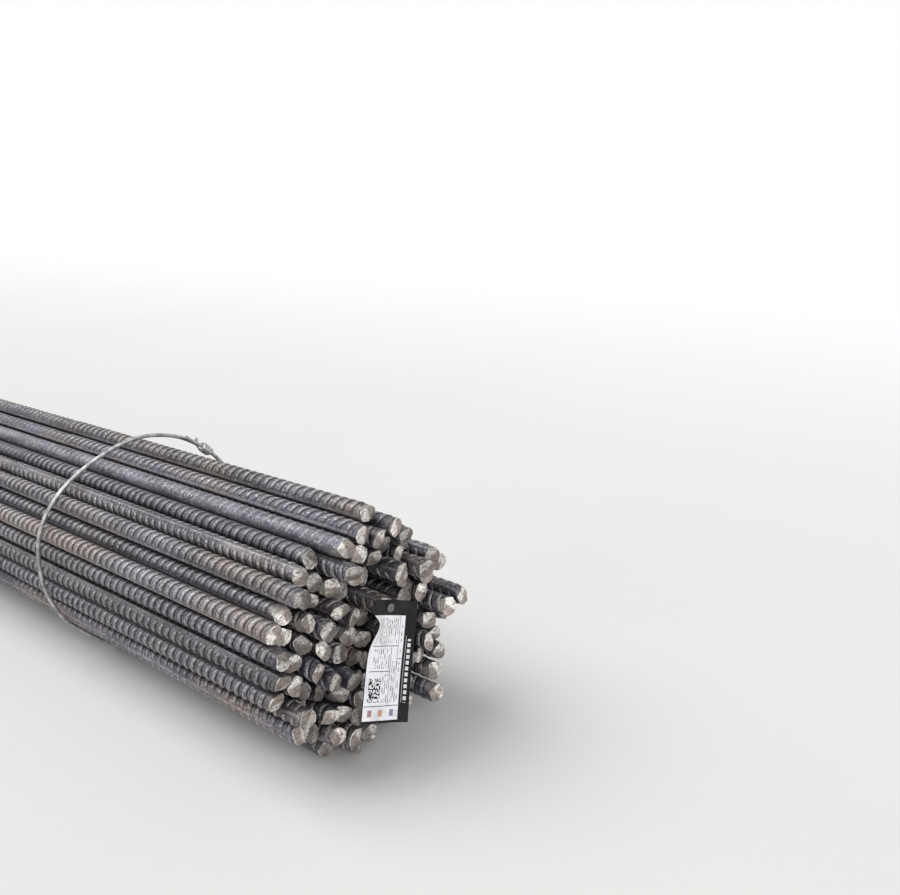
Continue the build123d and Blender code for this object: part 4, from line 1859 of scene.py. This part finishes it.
@dataclass
class Tag:
    """The tag on a bar's end: a thin sheet that curls off the bars at its right edge.

    Attributes:
        printed: How wide and high the tag's map is, in millimetres.
        lean: How far the tag is turned round its nail.
        hang: How far its foot hangs off the bars.
        swing: How far its sides are turned about its upright line.
    """

    node: str = "tag"
    width: float = 53.0 * MM
    height: float = 102.0 * MM
    printed: Pair = (54.0, 107.0)
    thickness: float = 0.8 * MM
    curl_radius: float = 40.0 * MM
    curl_angle: float = math.radians(28.0)
    curl_lift: float = 0.6
    lean: float = math.radians(23.0)
    hang: float = math.radians(9.5)
    swing: float = math.radians(-3.4)
    hole_inset: float = 6.7 * MM
    hole_across: float = -4.9 * MM
    crease_at: float = 0.815
    crease_above: float = 0.06
    crease_below: float = 0.16
    crease_reach: float = 25.0 * MM
    crease_out: float = 6.5 * MM
    crease_aside: float = 4.5 * MM
    corner_at: float = 0.88
    corner_tall: float = 0.12
    corner_reach: float = 16.0 * MM
    corner_out: float = 5.0 * MM
    corner_aside: float = 3.5 * MM
    ripple: float = 0.5 * MM
    ripple_up: float = 13.0 * MM
    ripple_across: float = 30.0 * MM
    seat: float = 0.3 * MM
    columns: int = 40
    rows: int = 60
    sharp_from: float = 40.0

    def sheet_point(self, across: float, up: float) -> tuple[float, float, float]:
        """Where a point of the flat sheet lies: across, up and out from the nail's hole.

        Args:
            across: From the left edge.
            up: From the lower edge.

        Returns:
            Across, up and out, before the tag leans.
        """
        flat = self.width - self.curl_angle * self.curl_radius
        left = -self.width / 2 - self.hole_across
        share = up / self.height
        bend = max(0.0, across - flat) / self.curl_radius
        side = left + min(across, flat) + self.curl_radius * math.sin(bend)
        out = self.curl_radius * (1 - math.cos(bend)) * self.curl_lift
        tall = self.crease_above if share > self.crease_at else self.crease_below
        crease = math.exp(-(((share - self.crease_at) / tall) ** 2))
        edge = max(0.0, 1.0 - across / self.crease_reach)
        out += self.crease_out * crease * edge**1.4
        side += self.crease_aside * crease * edge**1.3
        corner = max(0.0, share - self.corner_at) / self.corner_tall
        corner *= max(0.0, 1.0 - across / self.corner_reach)
        out += self.corner_out * corner
        side -= self.corner_aside * math.sin(math.pi * min(1.0, corner * 1.2))
        ripple = math.sin(up / self.ripple_up + across / self.ripple_across) * (1.0 - share)
        out += self.ripple * (1.0 + ripple) * min(1.0, across / self.width * 2)
        return side, up - self.height + self.hole_inset, out

    def hung(self, across: float, up: float) -> tuple[float, float, float]:
        """Where a point of the flat sheet lies from the nail's hole, once the tag hangs."""
        side, rise, out = self.sheet_point(across, up)
        aside = side * math.cos(self.lean) + rise * math.sin(self.lean)
        above = rise * math.cos(self.lean) - side * math.sin(self.lean)
        out += aside * math.sin(self.swing)
        return (
            max(out - above * math.sin(self.hang), 0.0),
            aside * math.cos(self.swing),
            above * math.cos(self.hang),
        )

    def build(self, printed: bpy.types.Material) -> bpy.types.Object:
        """Builds the sheet with its thickness.

        Args:
            printed: The tag's finish.

        Returns:
            The finished piece.
        """
        nail_low, nail_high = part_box("tag_nail")
        middle = middle_of(nail_low, nail_high)
        back = nail_low[0] + self.seat
        points, maps, faces = [], [], []
        for layer in (self.thickness, 0.0):
            for row in range(self.rows + 1):
                for column in range(self.columns + 1):
                    across, up = self.width * column / self.columns, self.height * row / self.rows
                    out, aside, above = self.hung(across, up)
                    points.append((back + out + layer, middle[0] + aside, middle[1] + above))
                    maps.append(
                        (across / self.width * self.printed[0], up / self.height * self.printed[1])
                    )
        line, sheet = self.columns + 1, (self.columns + 1) * (self.rows + 1)
        for row in range(self.rows):
            for column in range(self.columns):
                low = row * line + column
                square = (low, low + 1, low + 1 + line, low + line)
                faces.append(square)
                faces.append(tuple(sheet + corner for corner in reversed(square)))
        rim = list(range(self.columns)) + [row * line + self.columns for row in range(self.rows)]
        rim += [self.rows * line + column for column in range(self.columns, 0, -1)]
        rim += [row * line for row in range(self.rows, 0, -1)]
        for here, there in zip(rim, rim[1:] + rim[:1]):
            faces.append((there, here, sheet + here, sheet + there))
        made = smooth_piece("tag_sheet", points, faces, printed, self.sharp_from)
        corners = values_of(made.data.loops, "vertex_index", np.int32)
        layer = made.data.uv_layers.new(name="tag_map")
        layer.uv.foreach_set("vector", np.array(maps)[corners].ravel())
        return made


@dataclass
class TagNail:
    """The nail that holds the tag to the bar, with a hammered head."""

    node: str = "tag_nail"
    shank: float = 1.5 * MM
    head: float = 4.0 * MM
    head_height: float = 1.4 * MM
    dents: int = 3
    dent_depth: float = 0.03
    sides: int = 28
    sharp_from: float = 50.0

    def build(self, steel: bpy.types.Material) -> bpy.types.Object:
        """Builds the nail by turning its profile round.

        Args:
            steel: The nail's finish.

        Returns:
            The finished piece.
        """
        low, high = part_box(self.node)
        middle_y, middle_z = Vector(middle_of(low, high))
        front = high[0]
        under = front - self.head_height
        profile = [
            (low[0], self.shank),
            (under, self.shank),
            (under, self.head * 0.94),
            (under + 0.3 * self.head_height, self.head),
            (under + 0.7 * self.head_height, self.head * 0.97),
            (front - 0.06 * self.head_height, self.head * 0.8),
            (front, self.head * 0.45),
        ]
        points, faces = [(low[0], middle_y, middle_z)], []
        for x, radius in profile:
            for place in range(self.sides):
                angle = place * 2 * math.pi / self.sides
                dent = 1.0 + self.dent_depth * math.sin(self.dents * angle + x * 900)
                points.append((
                    x,
                    middle_y + radius * dent * math.cos(angle),
                    middle_z + radius * dent * math.sin(angle),
                ))
        points.append((front, middle_y, middle_z))
        last = 1 + (len(profile) - 1) * self.sides
        for place in range(self.sides):
            after = (place + 1) % self.sides
            faces.append((0, 1 + after, 1 + place))
            for here in range(1, last, self.sides):
                there = here + self.sides
                faces.append((here + place, here + after, there + after, there + place))
            faces.append((last + place, last + after, len(points) - 1))
        return smooth_piece("tag_nail_round", points, faces, steel, self.sharp_from)


# ---- Studio


@dataclass
class Studio:
    """The floor, the soft light and the camera at the photograph's viewing angle.

    The floor turns white over fade, and each sun is its name, the way to it, its width in degrees
    and its strength.
    """

    eye: Eye = field(default_factory=Eye)
    floor_half: float = 60.0
    floor_dark: Colour = colour(216, 215, 213)
    floor_pale: Colour = colour(224, 223, 221)
    floor_rough: float = 0.85
    bundle_half: float = 4.5
    fade: Pair = (0.5, 2.4)
    white: Colour = (1.0, 1.0, 1.0, 1.0)
    sky: Colour = (0.97, 0.98, 1.0, 1.0)
    sky_strength: float = 0.42
    suns: tuple = (
        ("high_soft_light", (-0.55, -0.35, 0.85), 52.0, 2.3),
        ("front_soft_light", (0.85, -0.35, 0.42), 40.0, 1.25),
    )
    clip: Pair = (0.02, 200.0)

    def build(self) -> None:
        """Makes the floor, the world, the lamps and the camera."""
        scene = bpy.context.scene
        scene.view_settings.view_transform = "Standard"
        self.floor()
        self.world(scene)
        for sun in self.suns:
            self.sun(*sun)
        self.camera(scene)

    def floor(self) -> None:
        """A plain pale floor, which fades to white far from the bundle."""
        half = self.floor_half
        corners = [(-half, -half, 0), (half, -half, 0), (half, half, 0), (-half, half, 0)]
        mesh = bpy.data.meshes.new("floor")
        mesh.from_pydata(corners, [], [(0, 1, 2, 3)])
        material, make, place, shader = new_material("pale_floor")
        cloud = make.noise(place, 1.3, 4.0, 0.5)
        make.feed(shader, {
            "Base Color": make.mix(cloud, self.floor_dark, self.floor_pale),
            "Roughness": self.floor_rough,
        })
        parts = make.node("ShaderNodeSeparateXYZ", {0: place}).outputs
        beyond = make.math("SUBTRACT", make.math("ABSOLUTE", parts["X"]), self.bundle_half)
        beyond = make.math("POWER", make.math("MAXIMUM", beyond, 0.0), 2.0)
        aside = make.math("POWER", parts["Y"], 2.0)
        away = make.math("SQRT", make.math("ADD", beyond, aside))
        share = make.times(make.between(away, *self.fade), make.seen_directly())
        white = make.node("ShaderNodeEmission", {"Color": self.white, "Strength": 1.0})
        mixed = {0: share, 1: shader.outputs[0], 2: white.outputs[0]}
        mixed = make.node("ShaderNodeMixShader", mixed).outputs[0]
        make.feed(material.node_tree.nodes["Material Output"], {"Surface": mixed})
        mesh.materials.append(material)
        put_in_scene("floor", mesh)

    def world(self, scene: bpy.types.Scene) -> None:
        """Even light from all round, and white behind the object."""
        world = bpy.data.worlds.new("studio")
        scene.world = world
        world.use_nodes = True
        make = Tree(world.node_tree)
        lit = world.node_tree.nodes["Background"]
        make.feed(lit, {"Color": self.sky, "Strength": self.sky_strength})
        white = make.node("ShaderNodeBackground", {"Color": self.white, "Strength": 1.0})
        mixed = {0: make.seen_directly(), 1: lit.outputs[0], 2: white.outputs[0]}
        mixed = make.node("ShaderNodeMixShader", mixed).outputs[0]
        make.feed(world.node_tree.nodes["World Output"], {"Surface": mixed})

    def sun(self, name: str, toward: tuple, spread: float, power: float) -> None:
        """A soft light that falls alike on the whole length.

        Args:
            name: The lamp's name.
            toward: The way to the light.
            spread: How wide it looks from the bundle, in degrees.
            power: Its strength.
        """
        data = bpy.data.lights.new(name, "SUN")
        data.angle = math.radians(spread)
        data.energy = power
        made = put_in_scene(name, data)
        made.location = Vector((4.0, 0.0, 0.0)) + Vector(toward) * 3
        made.rotation_euler = Vector(toward).to_track_quat("Z", "Y").to_euler()

    def camera(self, scene: bpy.types.Scene) -> None:
        """The camera at the photograph's viewing angle."""
        data = bpy.data.cameras.new("camera")
        data.lens, data.sensor_width = self.eye.lens, self.eye.sensor
        data.clip_start, data.clip_end = self.clip
        up, back = -Vector(self.eye.down), -Vector(self.eye.forward)
        turned = Matrix((Vector(self.eye.right), up, back)).transposed().to_4x4()
        made = put_in_scene("camera", data)
        made.matrix_world = Matrix.Translation(self.eye.place) @ turned
        scene.camera = made


# ---- The whole bundle


# How far each tie stands off square, in degrees, from the tagged end on
TIE_SKEWS = (5.0, -2.0, 3.0, -1.5, 2.5)
FIRST_TIE_X = 4.13742
TIE_STEP = 2.067
FIRST_ROW_SEED = 100


def finish_piece(piece: bpy.types.Object, node: str) -> None:
    """Puts a piece in a node's place, on the bundle's one body, and reports it."""
    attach(piece, "root")
    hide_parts(node)
    piece.data.calc_loop_triangles()
    log.info("%s: %d triangles for %s", piece.name, len(piece.data.loop_triangles), node)


def main() -> None:
    """Builds every piece over the frame and reports each."""
    logging.basicConfig(level=logging.INFO, format="%(message)s")
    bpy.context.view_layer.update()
    groups = SteelGroups()
    scale, cut = MillScale().build(groups), ShearedFace().build(groups)
    wire = BrightWire().build(groups)
    nail_steel = BrightWire(
        "tag_nail_steel", colour(138, 135, 131), colour(88, 85, 82), rust_share=0.4
    ).build(groups)
    rows = Bundle().read(frame["nodes"])
    every = [bar for row in rows.values() for bar in row]
    kit = RibKit(RibShape())
    for number, (node, bars) in enumerate(rows.items()):
        row = BarRow(node, bars, random.Random(FIRST_ROW_SEED + number))
        finish_piece(row.build(every, kit, scale, cut), node)
    kit.clear()
    log.info("%d bars, %d of them outer", len(every), sum(bar.outer for bar in every))
    for number, skew in enumerate(TIE_SKEWS):
        node = f"wire_tie_{number + 1}"
        tie = WireTie(node, FIRST_TIE_X - number * TIE_STEP, math.radians(skew))
        finish_piece(tie.build(every, wire), node)
    finish_piece(Tag().build(TagPrint().build()), "tag")
    finish_piece(TagNail().build(nail_steel), "tag_nail")
    Studio().build()


if __name__ == "__main__":
    main()
